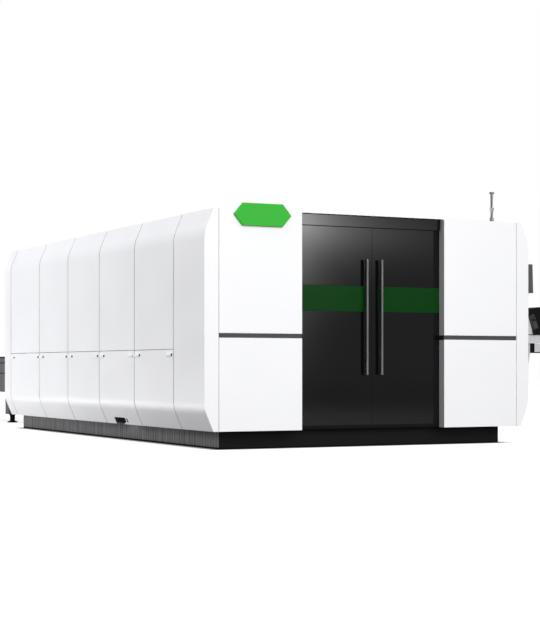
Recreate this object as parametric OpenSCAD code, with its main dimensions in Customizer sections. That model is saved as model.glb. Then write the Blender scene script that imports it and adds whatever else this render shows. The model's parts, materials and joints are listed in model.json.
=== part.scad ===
// Enclosed fiber laser cutting machine with a two level exchange table.
// Millimetres. X across the machine, Y from the doors to the exchange table, Z up from the floor.
// The origin is the floor under the middle levelling foot of the bed.

/* [Enclosure] */
// Width over the side walls
enc_w = 3710; // [3690:5:3730]
// Height of the roof above the floor
enc_h = 2300; // [2290:5:2320]
// Height of the lower edge of the casing above the floor
casing_z = 178; // [176:1:180]
// Length of the front casing along the machine
front_casing_l = 745; // [735:1:760]
// Pitch of the first four side panels along the machine
panel_pitch = 1050; // [1040:1:1060]
// Length of the last side panel
last_panel_l = 1170; // [1150:1:1180]
// Length of the rear casing along the machine
rear_casing_l = 261; // [250:1:270]
// How far the roof edge and the lower edge lie inside the side wall
chamfer_w = 95; // [90:1:98]
// Height of the lower chamfer
lower_chamfer_h = 218; // [210:1:226]
// Height of the upper chamfer
upper_chamfer_h = 225; // [210:1:240]
// Radius of the folds in the side walls
fold_r = 300; // [200:10:320]
// Height of the seam between the upper panels and the service flaps
flap_seam_z = 968; // [940:1:990]
// Open joint between neighbouring side panels
seam_gap = 9; // [5:1:11]
// Open joint above the service flaps and beside the front panels
flap_gap = 5; // [4:1:7]
// Thickness of the folded sheet
skin_t = 3; // [2.5:0.5:4]

/* [Front doors] */
// Half of the clear width between the front panels
doorway_half = 814; // [800:1:830]
// Height of the lower edge of the door header
header_z = 2185; // [2170:1:2195]
// Height of the middle of the trim strips
strip_z = 1093; // [1080:1:1110]
// Height of the trim strips
strip_h = 44; // [36:1:50]
// Thickness of a door leaf
leaf_t = 40; // [38:1:42]
// Sideways offset of the line where the doors meet
door_shift = 27; // [0:1:30]
// Lower edge of the door windows
window_z = 1345; // [1320:1:1370]
// Height of the door windows
window_h = 255; // [230:1:270]
// Length of the pull handles
handle_l = 1150; // [1000:10:1200]
// Outer diameter of the pull handles
handle_d = 35; // [30:1:40]

/* [Bed and gantry] */
// Height of the top of the bed girders
girder_z = 980; // [975:1:985]
// Where the gantry stands at rest
gantry_y = 2300; // [2200:10:2350]

/* [Exchange table] */
// Height of the slat tips of the upper pallet
work_z = 930; // [926:1:936]
// Height between the two pallet levels
level_step = 240; // [238:1:244]
// Length of a pallet
pallet_l = 4120; // [4000:10:4150]
// How far a pallet travels from the bed to the table
pallet_travel = 5760; // [5740:10:5780]
// Spacing of the slats along a pallet
slat_pitch = 130; // [120:5:160]
// Spacing of the teeth along a slat
tooth_pitch = 120; // [100:5:150]

/* [Hidden] */
half_w = enc_w / 2;
roof_half = half_w - chamfer_w;
panel_count = 5;
enc_l = front_casing_l + (panel_count - 1) * panel_pitch + last_panel_l + rear_casing_l;
front_y = -(front_casing_l + 2 * panel_pitch);
rear_y = front_y + enc_l;
corner_seam_x = 1707;
frame_x = 1725;
tube = 60;
lip = 25;
fold_steps = 6;
beam_z = enc_h - skin_t - lip - tube;
cross_z = 257;
frame_foot_z = casing_z + 4;
upper_z0 = flap_seam_z + flap_gap / 2;
flap_top_z = flap_seam_z - flap_gap / 2;
white = [0.93, 0.93, 0.94];
dark = [0.12, 0.12, 0.13];
grey = [0.36, 0.36, 0.37];
pale = [0.72, 0.73, 0.74];
steel = [0.6, 0.61, 0.63];
green = [0.2, 0.6, 0.2];
$fn = 48;

// Where the joint line before side panel number i lies, and the middle of that panel
function seam_y(i) = i < panel_count ? front_y + front_casing_l + i * panel_pitch : rear_y - rear_casing_l;
function panel_mid_y(i) = (seam_y(i) + seam_y(i + 1)) / 2;

function unit(v) = v / norm(v);
function right_of(d) = [d[1], -d[0]];
function reversed(p) = [for (i = [len(p) - 1 : -1 : 0]) p[i]];

// Points of the arc that rounds the corner b between a and c
function fold_arc(a, b, c, r) =
    let (d1 = unit(b - a), d2 = unit(c - b))
    let (turn = atan2(d1[0] * d2[1] - d1[1] * d2[0], d1 * d2))
    let (start = b - d1 * r * tan(abs(turn) / 2), side = -sign(turn) * right_of(d1))
    let (centre = start + r * side, first = atan2(-side[1], -side[0]))
    [for (i = [0 : fold_steps]) let (at = first + turn * i / fold_steps) centre + r * [cos(at), sin(at)]];

// A run of corners with every inner corner rounded
function folded(corners, r) = concat([corners[0]],
    [for (i = [1 : len(corners) - 2]) each fold_arc(corners[i - 1], corners[i], corners[i + 1], r)],
    [corners[len(corners) - 1]]);

// The same run moved inwards by a sheet thickness or a lip
function path_dir(p, i) = i == 0 ? unit(p[1] - p[0])
    : i == len(p) - 1 ? unit(p[i] - p[i - 1])
    : unit(unit(p[i] - p[i - 1]) + unit(p[i + 1] - p[i]));
function inset_path(p, d) = [for (i = [0 : len(p) - 1])
    let (n = right_of(path_dir(p, i)), seg = i == 0 ? p[1] - p[0] : p[i] - p[i - 1])
    p[i] + n * d / (n * right_of(unit(seg)))];

// Outline of a rectangle with rounded corners, centred
function rounded_rect(w, h, r) = [for (q = [0 : 3]) for (a = [0 : 15 : 90])
    let (sx = q == 0 || q == 3 ? 1 : -1, sy = q < 2 ? 1 : -1)
    [sx * (w / 2 - r) + r * cos(90 * q + a), sy * (h / 2 - r) + r * sin(90 * q + a)]];

// Section of the left wall: lower chamfer, upright wall, upper chamfer
wall_path = folded([[-roof_half, casing_z], [-half_w, casing_z + lower_chamfer_h],
    [-half_w, enc_h - upper_chamfer_h], [-roof_half, enc_h]], fold_r);
upper_path = folded([[-half_w, upper_z0], [-half_w, enc_h - upper_chamfer_h],
    [-roof_half, enc_h]], fold_r);
flap_path = folded([[-roof_half, casing_z], [-half_w, casing_z + lower_chamfer_h],
    [-half_w, flap_top_z]], fold_r);

// Draws a section in the XZ plane and runs it from y0 to y1
module along_y(y0, y1) translate([0, y1, 0]) rotate([90, 0, 0]) linear_extrude(y1 - y0) children();

// Draws a section in the YZ plane and runs it from x0 to x1
module along_x(x0, x1) translate([x0, 0, 0]) rotate([90, 0, 90]) linear_extrude(x1 - x0) children();

// A box given by its lowest and highest corners
module block(low, high) translate(low) cube(high - low);

// A shape and its mirror image across the machine's middle plane
module both_sides() {
    children();
    mirror([1, 0, 0]) children();
}

module bent_sheet(path, depth, y0, y1)
    along_y(y0, y1) polygon(concat(path, reversed(inset_path(path, depth))));

// The same run with its last end cut back under the roof sheet
function trimmed(p) = concat([for (i = [0 : len(p) - 2]) p[i]],
    [p[len(p) - 1] - (2 * skin_t) * unit(p[len(p) - 1] - p[len(p) - 2])]);

// Flat rib that closes the end of a wall panel and seats on the frame
module wall_rib(path, y0, y1) {
    edge = trimmed(path);
    along_y(y0, y1) polygon(concat(edge, [[-frame_x, edge[len(edge) - 1][1]], [-frame_x, edge[0][1]]]));
}

module wall_panel(path, y0, y1) {
    bent_sheet(path, skin_t, y0, y1);
    wall_rib(path, y0, y0 + skin_t);
    wall_rib(path, y1 - skin_t, y1);
}

// Folded tray: skin facing -Y at y = 0, with lips running back from its four edges
module flat_tray(x0, x1, z0, z1, lip_l, lip_r, lip_ends) {
    block([x0, 0, z0], [x1, skin_t, z1]);
    block([x0, 0, z0], [x0 + skin_t, lip_l, z1]);
    block([x1 - skin_t, 0, z0], [x1, lip_r, z1 - skin_t]);
    block([x0, 0, z0], [x1, lip_ends, z0 + skin_t]);
    block([x0, 0, z1 - skin_t], [x1, lip_ends, z1]);
}

// Left corner casing: side wall, return round the corner and a lip at the seam
module corner_casing(length) {
    wall_panel(wall_path, 0, length - seam_gap / 2);
    along_y(0, skin_t) polygon(concat(wall_path, [[-corner_seam_x, enc_h], [-corner_seam_x, casing_z]]));
    block([-corner_seam_x - skin_t, 0, casing_z], [-corner_seam_x, lip, enc_h]);
}

module front_casings() color(white) translate([0, front_y, 0]) both_sides() corner_casing(front_casing_l);

module rear_casings() color(white) translate([0, rear_y, 0]) mirror([0, 1, 0]) both_sides()
    corner_casing(rear_casing_l);

// White front panels beside the doorway; the inner edge returns to the door plane
return_depth = 95;
strip_zs = [strip_z - strip_h / 2, strip_z + strip_h / 2];
panel_x0 = corner_seam_x - flap_gap;
module front_panel(z0, z1) color(white) translate([0, front_y, 0])
    flat_tray(-panel_x0, -doorway_half, z0, z1, lip, return_depth, lip);
module front_panel_left_upper() front_panel(strip_zs[1], enc_h);
module front_panel_left_lower() front_panel(casing_z, strip_zs[0]);
module front_panel_right_upper() mirror([1, 0, 0]) front_panel_left_upper();
module front_panel_right_lower() mirror([1, 0, 0]) front_panel_left_lower();

// Dark trim channels between the upper and lower front panels
strip_recess = 8;
module front_strips() color(grey) translate([0, front_y, 0]) both_sides() {
    block([-panel_x0, strip_recess, strip_zs[0]], [-doorway_half, strip_recess + skin_t, strip_zs[1]]);
    block([-doorway_half - skin_t, strip_recess, strip_zs[0]], [-doorway_half, return_depth, strip_zs[1]]);
}

// Sliding doors: leaf plane, track above and groove below
rail_y0 = front_y + return_depth + 1;
leaf_y0 = rail_y0 + 7;
leaf_mid_y = leaf_y0 + leaf_t / 2;
leaf_z0 = 205;
leaf_z1 = 2220;
leaf_x0 = doorway_half + 60;
track_half = 1600;
track_zs = [leaf_z1 + 10, 2290];
track_half_t = 27;
track_wall = 12;
slot_half = 8;
roller_half = [60, 15];
hanger_half = [40, 6];
hanger_inset = 150;
header_y = front_y + 70;
threshold_top = 215;
threshold_t = 64;
groove_clear = 3.5;

module door_header() color(dark) block([-doorway_half + 2, header_y, header_z],
    [doorway_half - 2, rail_y0, enc_h - skin_t]);

module door_track() color(steel) difference() {
    block([-track_half, rail_y0, track_zs[0]], [track_half, leaf_mid_y + track_half_t, track_zs[1]]);
    block([-track_half - 1, leaf_mid_y - roller_half[1] - 3, track_zs[0] + track_wall],
        [track_half + 1, leaf_mid_y + roller_half[1] + 3, track_zs[1] - track_wall]);
    block([-track_half - 1, leaf_mid_y - slot_half, track_zs[0] - 1],
        [track_half + 1, leaf_mid_y + slot_half, track_zs[0] + track_wall + 1]);
}

module door_threshold() color(dark) difference() {
    block([-track_half, rail_y0, frame_foot_z], [track_half, rail_y0 + threshold_t, threshold_top]);
    block([-track_half - 1, leaf_y0 - groove_clear, leaf_z0 - 10],
        [track_half + 1, leaf_y0 + leaf_t + groove_clear, threshold_top + 1]);
}

// Left leaf, with a rebated window opening and two hangers that run in the track
module at_doors() translate([door_shift, 0, 0]) children();
window_x0 = leaf_x0 - 74;
window_x1 = 70;
rebate = 12;
rebate_t = 7;
module door_leaf() color(dark) {
    difference() {
        block([-leaf_x0, leaf_y0, leaf_z0], [-1, leaf_y0 + leaf_t, leaf_z1]);
        block([-window_x0, leaf_y0 - 1, window_z], [-window_x1, leaf_y0 + rebate_t, window_z + window_h]);
        block([-window_x0 + rebate, leaf_y0, window_z + rebate],
            [-window_x1 - rebate, leaf_y0 + leaf_t + 1, window_z + window_h - rebate]);
    }
    for (x = [-leaf_x0 + hanger_inset, -hanger_inset]) {
        block([x - hanger_half[0], leaf_mid_y - hanger_half[1], leaf_z1 - 1],
            [x + hanger_half[0], leaf_mid_y + hanger_half[1], track_zs[0] + track_wall + 6]);
        block([x - roller_half[0], leaf_mid_y - roller_half[1], track_zs[0] + track_wall + 3],
            [x + roller_half[0], leaf_mid_y + roller_half[1], track_zs[1] - track_wall - 3]);
    }
}
module door_leaf_left() at_doors() door_leaf();
module door_leaf_right() at_doors() mirror([1, 0, 0]) door_leaf();

// Tinted pane, flush in the rebate
module door_window() color(green) block([-window_x0 + 0.5, leaf_y0 + 0.5, window_z + 0.5],
    [-window_x1 - 0.5, leaf_y0 + rebate_t, window_z + window_h - 0.5]);
module door_window_left() at_doors() door_window();
module door_window_right() at_doors() mirror([1, 0, 0]) door_window();

// Long tubular pull handle on two standoffs
handle_x = 85;
handle_mid_z = 1290;
handle_off = 48;
standoff_d = 20;
standoff_span = 850;
module door_handle() color(dark) {
    translate([-handle_x, leaf_y0 - handle_off, handle_mid_z - handle_l / 2])
        cylinder(d = handle_d, h = handle_l);
    for (s = [-1, 1]) translate([-handle_x, leaf_y0, handle_mid_z + s * standoff_span / 2])
        rotate([90, 0, 0]) cylinder(d = standoff_d, h = handle_off);
}
module door_handle_left() at_doors() door_handle();
module door_handle_right() at_doors() mirror([1, 0, 0]) door_handle();

// Bare hexagonal sign at the top of the left front panel, rising above the roof
sign_mid = [-1250, 2252];
sign_half = [304, 108];
sign_flat = 213.5;
sign_t = 30;
sign_corners = [[sign_half[0], 0], [sign_flat, sign_half[1]], [-sign_flat, sign_half[1]]];
module sign_plate() color(green) along_y(front_y - sign_t, front_y) translate(sign_mid)
    polygon(concat(sign_corners, -sign_corners));

// Side walls above the service flaps
module upper_panels() color(white) for (i = [0 : panel_count - 1]) {
    y0 = seam_y(i) + seam_gap / 2;
    y1 = seam_y(i + 1) - seam_gap / 2;
    wall_panel(upper_path, y0, y1);
    block([-half_w, y0, upper_z0], [-half_w + lip, y1, upper_z0 + skin_t]);
}
module left_upper_panels() upper_panels();
module right_upper_panels() mirror([1, 0, 0]) upper_panels();
module right_lower_panels() color(white) mirror([1, 0, 0]) for (i = [0 : panel_count - 1])
    wall_panel(flap_path, seam_y(i) + seam_gap / 2, seam_y(i + 1) - seam_gap / 2);

// Drop-down service flaps, each hung on two pins along its lower edge
hinge_x = -1742;
hinge_z = 196;
pin_r = 5;
pin_clear = 0.05;
knuckle_r = 9;
knuckle_l = 60;
hinge_inset = 170;
lug_t = 10;
flap_arm = [23, 4];
lug_half = 7;
plate_x = [-frame_x - 3, -frame_x + 5];
plate_half = 50;
plate_top = 300;
function hinge_ys(i) = [seam_y(i) + hinge_inset, seam_y(i + 1) - hinge_inset];

module hinge_rod(r, y, l) translate([hinge_x, y + l / 2, hinge_z]) rotate([90, 0, 0]) cylinder(r = r, h = l);

// Domed pull grip near each top corner of a flap
grip = [125, 38, 16];
grip_z = 916;
grip_inset = 95;
grip_r = 14;
grip_rise = 10;
dome_r = (grip[1] * grip[1] / 4 + grip_rise * grip_rise) / (2 * grip_rise);
module pull_grip(y) translate([-half_w, y, grip_z]) intersection() {
    along_x(-grip[2], 1) polygon(rounded_rect(grip[0], grip[1], grip_r));
    along_y(-grip[0], grip[0]) translate([dome_r - grip[2], 0]) circle(r = dome_r);
}

module service_flap(i) color(white) difference() {
    y0 = seam_y(i) + seam_gap / 2;
    y1 = seam_y(i + 1) - seam_gap / 2;
    union() {
        bent_sheet(flap_path, skin_t, y0, y1);
        bent_sheet(flap_path, lip, y0, y0 + skin_t);
        bent_sheet(flap_path, lip, y1 - skin_t, y1);
        block([-half_w, y0, flap_top_z - skin_t], [-half_w + lip, y1, flap_top_z]);
        for (y = hinge_ys(i)) {
            hinge_rod(knuckle_r, y, knuckle_l);
            block([hinge_x - flap_arm[0], y - knuckle_l / 2, hinge_z - flap_arm[1]],
                [hinge_x, y + knuckle_l / 2, hinge_z + flap_arm[1]]);
        }
        for (y = [y0 + grip_inset, y1 - grip_inset]) pull_grip(y);
    }
    for (y = hinge_ys(i)) hinge_rod(pin_r + pin_clear, y, knuckle_l + 2);
    if (i == 1) cable_notch();
}
module service_flap_1() service_flap(0);
module service_flap_2() service_flap(1);
module service_flap_3() service_flap(2);
module service_flap_4() service_flap(3);
module service_flap_5() service_flap(4);

// Cable notch in the lower edge of the second flap, with a tie slot in front of it
notch_y = [2235, 2330, 2550];
notch_z = [casing_z - 1, 205, 250];
tie_slot = [34, 46, 12];
tie_slot_at = [2190, 222];
module cable_notch() translate([0, front_y, 0]) along_x(-half_w - 1, -frame_x - 20) {
    polygon([[notch_y[2], notch_z[0]], [notch_y[2], notch_z[2]], [notch_y[0], notch_z[2]],
        [notch_y[0], notch_z[1]], [notch_y[1], notch_z[0]]]);
    translate(tie_slot_at) polygon(rounded_rect(tie_slot[0], tie_slot[1], tie_slot[2]));
}

// Fixed halves of the flap hinges: base plate on the sill, two lugs and the riveted pin
module flap_hinges() color(steel) for (i = [0 : panel_count - 1]) for (y = hinge_ys(i)) {
    block([plate_x[0], y - plate_half, hinge_z - knuckle_r], [plate_x[1], y + plate_half, plate_top]);
    for (s = [-1, 1]) {
        lug_y = y + s * (knuckle_l / 2 + 0.5 + lug_t / 2);
        hinge_rod(knuckle_r, lug_y, lug_t);
        block([hinge_x, lug_y - lug_t / 2, hinge_z - lug_half],
            [plate_x[0] + 1, lug_y + lug_t / 2, hinge_z + lug_half]);
    }
    hinge_rod(pin_r, y, knuckle_l + 1 + 2 * lug_t);
}

// Welded frame: posts at the seams with sills and end rails
portal_y0 = front_y + lip;
portal = 50;
module side_frames() color(grey) both_sides() {
    for (i = [0 : panel_count])
        block([-frame_x, seam_y(i) - tube / 2, cross_z], [-frame_x + tube, seam_y(i) + tube / 2, beam_z]);
    block([plate_x[1], seam_y(0), cross_z], [-frame_x + tube, seam_y(panel_count), cross_z + tube]);
    for (z = [cross_z, beam_z - tube]) {
        block([-frame_x, rail_y0, z], [-frame_x + tube, seam_y(0), z + tube]);
        block([-frame_x, seam_y(panel_count), z], [-frame_x + tube, rear_y - lip, z + tube]);
    }
}

// Front portals: the tubes behind the front panels on each side of the doorway
module front_portals() color(grey) both_sides() {
    block([-frame_x, portal_y0, frame_foot_z], [-frame_x + portal, rail_y0, beam_z + tube]);
    block([-doorway_half - skin_t - portal, portal_y0, frame_foot_z],
        [-doorway_half - skin_t, rail_y0 - 1, beam_z + tube]);
    for (z = [frame_foot_z, beam_z])
        block([-frame_x, portal_y0, z], [-doorway_half - skin_t - 1, rail_y0, z + tube]);
}

// Roof: one tray for each module, carried by cross tubes at the seams
duct_mid = [0, panel_mid_y(4)];
duct_r = 120;
collar_t = 5;
collar_h = 110;
roof_edge = roof_half - flap_gap;
saddle_half = frame_x - tube;
saddle_t = 4;
roof_ys = concat([front_y], [for (i = [0 : panel_count]) seam_y(i)], [rear_y]);
module roof_panels() color(white) difference() {
    for (i = [0 : len(roof_ys) - 2]) {
        y0 = roof_ys[i] + (i == 0 ? lip + 1 : seam_gap / 2);
        y1 = roof_ys[i + 1] - (i == len(roof_ys) - 2 ? lip + 1 : seam_gap / 2);
        block([-roof_edge, y0, enc_h - skin_t], [roof_edge, y1, enc_h]);
        for (y = [if (i > 0) y0, if (i < len(roof_ys) - 2) y1 - skin_t])
            block([-saddle_half, y, enc_h - skin_t - saddle_t], [saddle_half, y + skin_t, enc_h]);
    }
    translate([duct_mid[0], duct_mid[1], enc_h - 10]) cylinder(r = duct_r, h = 20);
}

module roof_beams() color(grey) for (i = [0 : panel_count]) {
    block([-frame_x, seam_y(i) - tube / 2, beam_z], [frame_x, seam_y(i) + tube / 2, beam_z + tube]);
    block([-saddle_half, seam_y(i) - tube / 4, beam_z + tube - 1],
        [saddle_half, seam_y(i) + tube / 4, enc_h - skin_t - saddle_t]);
}

// Spigot for the fume duct
module duct_collar() color(pale) translate([duct_mid[0], duct_mid[1], enc_h]) difference() {
    union() {
        cylinder(r = duct_r + 35, h = 4);
        cylinder(r = duct_r + collar_t, h = collar_h);
    }
    translate([0, 0, -1]) cylinder(r = duct_r, h = collar_h + 2);
}

// Rear wall: side panels with the door guides, sill and header round the pallet opening
rear_half = 1200;
rear_sill_z = 440;
rear_head_z = 1700;
rear_door_z = [1000, 1740];
rear_door_half = 1236;
rear_lip = 12;
lift_guide_x = [1215, 1255];
module rear_panels() color(white) translate([0, rear_y, 0]) mirror([0, 1, 0]) {
    both_sides() {
        flat_tray(-panel_x0, -rear_half - flap_gap, casing_z, enc_h, lip, rear_lip, rear_lip);
        difference() {
            block([-lift_guide_x[1], skin_t - 1, rear_door_z[0] - 60], [-lift_guide_x[0], 58, enc_h - 40]);
            block([-rear_door_half - 4, 18, rear_door_z[0] - 20], [-lift_guide_x[0] + 1, 48, enc_h]);
        }
    }
    flat_tray(-rear_half, rear_half, rear_head_z, enc_h, rear_lip, rear_lip, rear_lip);
    flat_tray(-rear_half, rear_half, casing_z, rear_sill_z, rear_lip, rear_lip, rear_lip);
}

// Lift door above the pallets, with a stiffening rib along its lower edge
module rear_door() color(pale) translate([0, rear_y, 0]) mirror([0, 1, 0]) {
    block([-rear_door_half, 20, rear_door_z[0]], [rear_door_half, 46, rear_door_z[1]]);
    block([-rear_half + 60, 46, rear_door_z[0]], [rear_half - 60, 66, rear_door_z[0] + 60]);
}

// Signal mast on the roof: base rings, funnel collar, pole, ring and cap
mast_at = [1600, front_y + 300];
mast_profile = [[0, 0], [22, 0], [22, 50], [19, 50], [19, 54], [22, 54], [22, 69], [13.5, 69], [13.5, 112],
    [24, 176], [21, 176], [13.5, 140], [13.5, 280], [16, 280], [16, 296], [13.5, 296], [13.5, 318],
    [25, 318], [25, 340], [0, 340]];
module signal_mast() color(grey) translate([mast_at[0], mast_at[1], enc_h]) rotate_extrude()
    polygon(mast_profile);

// Plinth: ribbed sheets along the sides and a plain one at the front
skirt_half = 1611;
skirt_recess = 207;
skirt_t = 6;
rib_h = 7;
rib_slope = 8;
rib_flat = 22;
rib_count = 96;
rib_x = -skirt_half + rib_h;
skirt_l = enc_l - skirt_recess;
rib_pitch = skirt_l / rib_count;
skirt_y0 = front_y + skirt_recess;
ribbed_edge = [for (i = [0 : rib_count - 1]) let (y = i * rib_pitch) each [
    [rib_x, y], [-skirt_half, y + rib_slope],
    [-skirt_half, y + rib_slope + rib_flat], [rib_x, y + 2 * rib_slope + rib_flat]]];
module skirt() color(grey) {
    both_sides() translate([0, skirt_y0, 0]) linear_extrude(casing_z)
        polygon(concat(ribbed_edge, [[rib_x, skirt_l], [rib_x + skirt_t, skirt_l], [rib_x + skirt_t, 0]]));
    block([-skirt_half, skirt_y0 - skirt_t - 1, 0], [skirt_half, skirt_y0 - 1, casing_z]);
}

// Bed girders on legs, each with a linear rail and a rack on top and two pallet ledges inside
rail_x = 1310;
rail_w = 30;
rail_h = 28;
rack_x = [20, 60];
rack_h = 22;
girder_x = [1160, 1460];
girder_h = 500;
girder_wall = 14;
leg_w = 200;
leg_inset = 40;
ledge_x = 1045;
ledge_t = 12;
frame_z = work_z - 160;
function ledge_top(level) = frame_z - 2 - level * level_step;
bed_y = [seam_y(0) - 160, seam_y(panel_count) + 100];
module ledges(y0, y1) for (level = [0, 1])
    block([-girder_x[0] - 1, y0, ledge_top(level) - ledge_t], [-ledge_x, y1, ledge_top(level)]);

module bed_girders() color(grey) both_sides() {
    difference() {
        block([-girder_x[1], bed_y[0], girder_z - girder_h], [-girder_x[0], bed_y[1], girder_z]);
        block([-girder_x[1] + girder_wall, bed_y[0] - 1, girder_z - girder_h + girder_wall],
            [-girder_x[0] - girder_wall, bed_y[1] + 1, girder_z - girder_wall]);
    }
    for (i = [0 : panel_count]) block([-girder_x[1] + leg_inset, seam_y(i) - leg_w / 2, cross_z],
        [-girder_x[0] - leg_inset, seam_y(i) + leg_w / 2, girder_z - girder_h + 1]);
    ledges(bed_y[0], bed_y[1]);
    block([-rail_x - rail_w / 2, bed_y[0], girder_z - 1],
        [-rail_x + rail_w / 2, bed_y[1], girder_z + rail_h]);
    block([-girder_x[0] - rack_x[1], bed_y[0], girder_z - 1],
        [-girder_x[0] - rack_x[0], bed_y[1], girder_z + rack_h]);
}

// Cross beams of the bed, with narrower ends that reach out under the side frames
foot_h = 110;
cross_half = [1590, 1700];
cross_w = 300;
module bed_cross_beams() color(grey) for (i = [0 : panel_count]) {
    block([-cross_half[0], seam_y(i) - cross_w / 2, foot_h],
        [cross_half[0], seam_y(i) + cross_w / 2, cross_z]);
    block([-cross_half[1], seam_y(i) - cross_w / 4, frame_foot_z],
        [cross_half[1], seam_y(i) + cross_w / 4, cross_z]);
}

// Levelling feet of the bed and of the exchange table: turned pad and spindle with a lock nut
pad_d = 145;
pad_t = 26;
spindle_d = 70;
nut_d = 96;
nut_t = 22;
module foot(h) {
    rotate_extrude() polygon([[0, 0], [pad_d / 2, 0], [pad_d / 2, pad_t / 2], [spindle_d / 2, pad_t],
        [spindle_d / 2, h], [0, h]]);
    translate([0, 0, h - nut_t]) cylinder(d = nut_d, h = nut_t, $fn = 6);
}
table_leg_x = 1118;
table_foot_h = 120;
module levelling_feet() color(dark) {
    for (i = [0 : panel_count]) for (x = [-rail_x, 0, rail_x]) translate([x, seam_y(i), 0]) foot(foot_h);
    for (y = table_leg_ys) for (x = [-table_leg_x, table_leg_x]) translate([x, y, 0]) foot(table_foot_h);
}

// Slag bins under the pallets, resting on the cross beams
bin_wall = 4;
bin_half_w = 1100;
bin_seat = 35;
bin_h = 180;
module slag_bin(half_l) difference() {
    block([-bin_half_w, -half_l, 0], [bin_half_w, half_l, bin_h]);
    block([-bin_half_w + bin_wall, -half_l + bin_wall, bin_wall],
        [bin_half_w - bin_wall, half_l - bin_wall, bin_h + 1]);
}
module slag_bins() color(steel) for (i = [0 : panel_count - 1])
    translate([0, panel_mid_y(i), cross_z]) slag_bin((seam_y(i + 1) - seam_y(i) - cross_w) / 2 + bin_seat);

// Gantry: box beam, chamfered behind, with two cross rails in front
truck_zs = [girder_z + rail_h + 2, girder_z + 210];
beam_half = [1440, 140];
beam_h = 280;
beam_wall = 12;
beam_chamfer = 60;
cross_rail_zs = [truck_zs[1] + 50, truck_zs[1] + 230];
cross_rail_t = 22;
cross_rail_half = 15;
cross_rail_inset = 40;
function beam_section(d) = [[-beam_half[1] + d, d], [beam_half[1] - beam_chamfer, d],
    [beam_half[1] - d, beam_chamfer], [beam_half[1] - d, beam_h - beam_chamfer],
    [beam_half[1] - beam_chamfer, beam_h - d], [-beam_half[1] + d, beam_h - d]];
module gantry_beam() color(pale) translate([0, gantry_y, 0]) {
    translate([0, 0, truck_zs[1]]) difference() {
        along_x(-beam_half[0], beam_half[0]) polygon(beam_section(0));
        along_x(-beam_half[0] - 1, beam_half[0] + 1) polygon(beam_section(beam_wall));
    }
    for (z = cross_rail_zs)
        block([-beam_half[0] + cross_rail_inset, -beam_half[1] - cross_rail_t, z - cross_rail_half],
            [beam_half[0] - cross_rail_inset, -beam_half[1] + 1, z + cross_rail_half]);
}

// Trucks that carry the beam: tapered box, two grooved runner blocks and a drive motor
truck_x = 1180;
truck_half_l = 280;
truck_nose = [130, 70];
runner = [60, 100];
runner_ys = [-200, 140];
motor_mid = [1320, 212];
motor_flange = [116, 50];
motor_d = 104;
motor_h = 160;
module runner_block(y) difference() {
    block([-rail_x - runner[0] / 2, y, girder_z + 6],
        [-rail_x + runner[0] / 2, y + runner[1], truck_zs[0] + 1]);
    block([-rail_x - rail_w / 2 - 1, y - 1, girder_z],
        [-rail_x + rail_w / 2 + 1, y + runner[1] + 1, girder_z + rail_h + 1]);
}
module gantry_trucks() color(grey) translate([0, gantry_y, 0]) both_sides() {
    along_x(-beam_half[0], -truck_x) polygon([[-truck_half_l, truck_zs[0]], [truck_half_l, truck_zs[0]],
        [truck_half_l, truck_zs[1]], [truck_nose[0] - truck_half_l, truck_zs[1]],
        [-truck_half_l, truck_zs[0] + truck_nose[1]]]);
    for (y = runner_ys) runner_block(y);
    translate([-motor_mid[0], motor_mid[1], truck_zs[1] - 1]) {
        linear_extrude(motor_flange[1]) square(motor_flange[0], center = true);
        cylinder(d = motor_d, h = motor_h);
    }
}

// Carriage on the front face of the beam: grooved runners, rounded plate, two upright rails and a motor
carriage_y = gantry_y - beam_half[1] - cross_rail_t;
carriage_size = [340, 300];
carriage_r = 30;
plate_t = 28;
plate_ys = [carriage_y - 5 - plate_t, carriage_y - 5];
carriage_mid_z = truck_zs[1] + carriage_size[1] / 2;
cross_runner_half = [45, 32];
cross_runner_x = 100;
head_rail_x = 70;
head_rail = [24, 15];
axis_motor = [140, 70];
axis_motor_z = [carriage_mid_z + 140, carriage_mid_z + 240, carriage_mid_z + 310];
module cross_runner(x, z) difference() {
    block([x - cross_runner_half[0], carriage_y - 6, z - cross_runner_half[1]],
        [x + cross_runner_half[0], carriage_y + 18, z + cross_runner_half[1]]);
    block([x - cross_runner_half[0] - 1, carriage_y - 1, z - cross_rail_half - 1],
        [x + cross_runner_half[0] + 1, carriage_y + 19, z + cross_rail_half + 1]);
}
module carriage() color(dark) {
    for (z = cross_rail_zs) for (x = [-cross_runner_x, cross_runner_x]) cross_runner(x, z);
    along_y(plate_ys[0], plate_ys[1]) translate([0, carriage_mid_z])
        polygon(rounded_rect(carriage_size[0], carriage_size[1], carriage_r));
    for (x = [-head_rail_x, head_rail_x])
        block([x - head_rail[0] / 2, plate_ys[0] - head_rail[1], truck_zs[1]],
            [x + head_rail[0] / 2, plate_ys[0] + 1, truck_zs[1] + carriage_size[1]]);
    block([-axis_motor[0] / 2, plate_ys[0], axis_motor_z[0]],
        [axis_motor[0] / 2, plate_ys[1], axis_motor_z[1]]);
    block([-axis_motor[0] / 2, plate_ys[0] - axis_motor[1], axis_motor_z[0] + 30],
        [axis_motor[0] / 2, plate_ys[0] + 1, axis_motor_z[1]]);
    translate([0, plate_ys[0] - 20, axis_motor_z[1] - 1])
        cylinder(d = motor_d, h = axis_motor_z[2] - axis_motor_z[1]);
}

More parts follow.
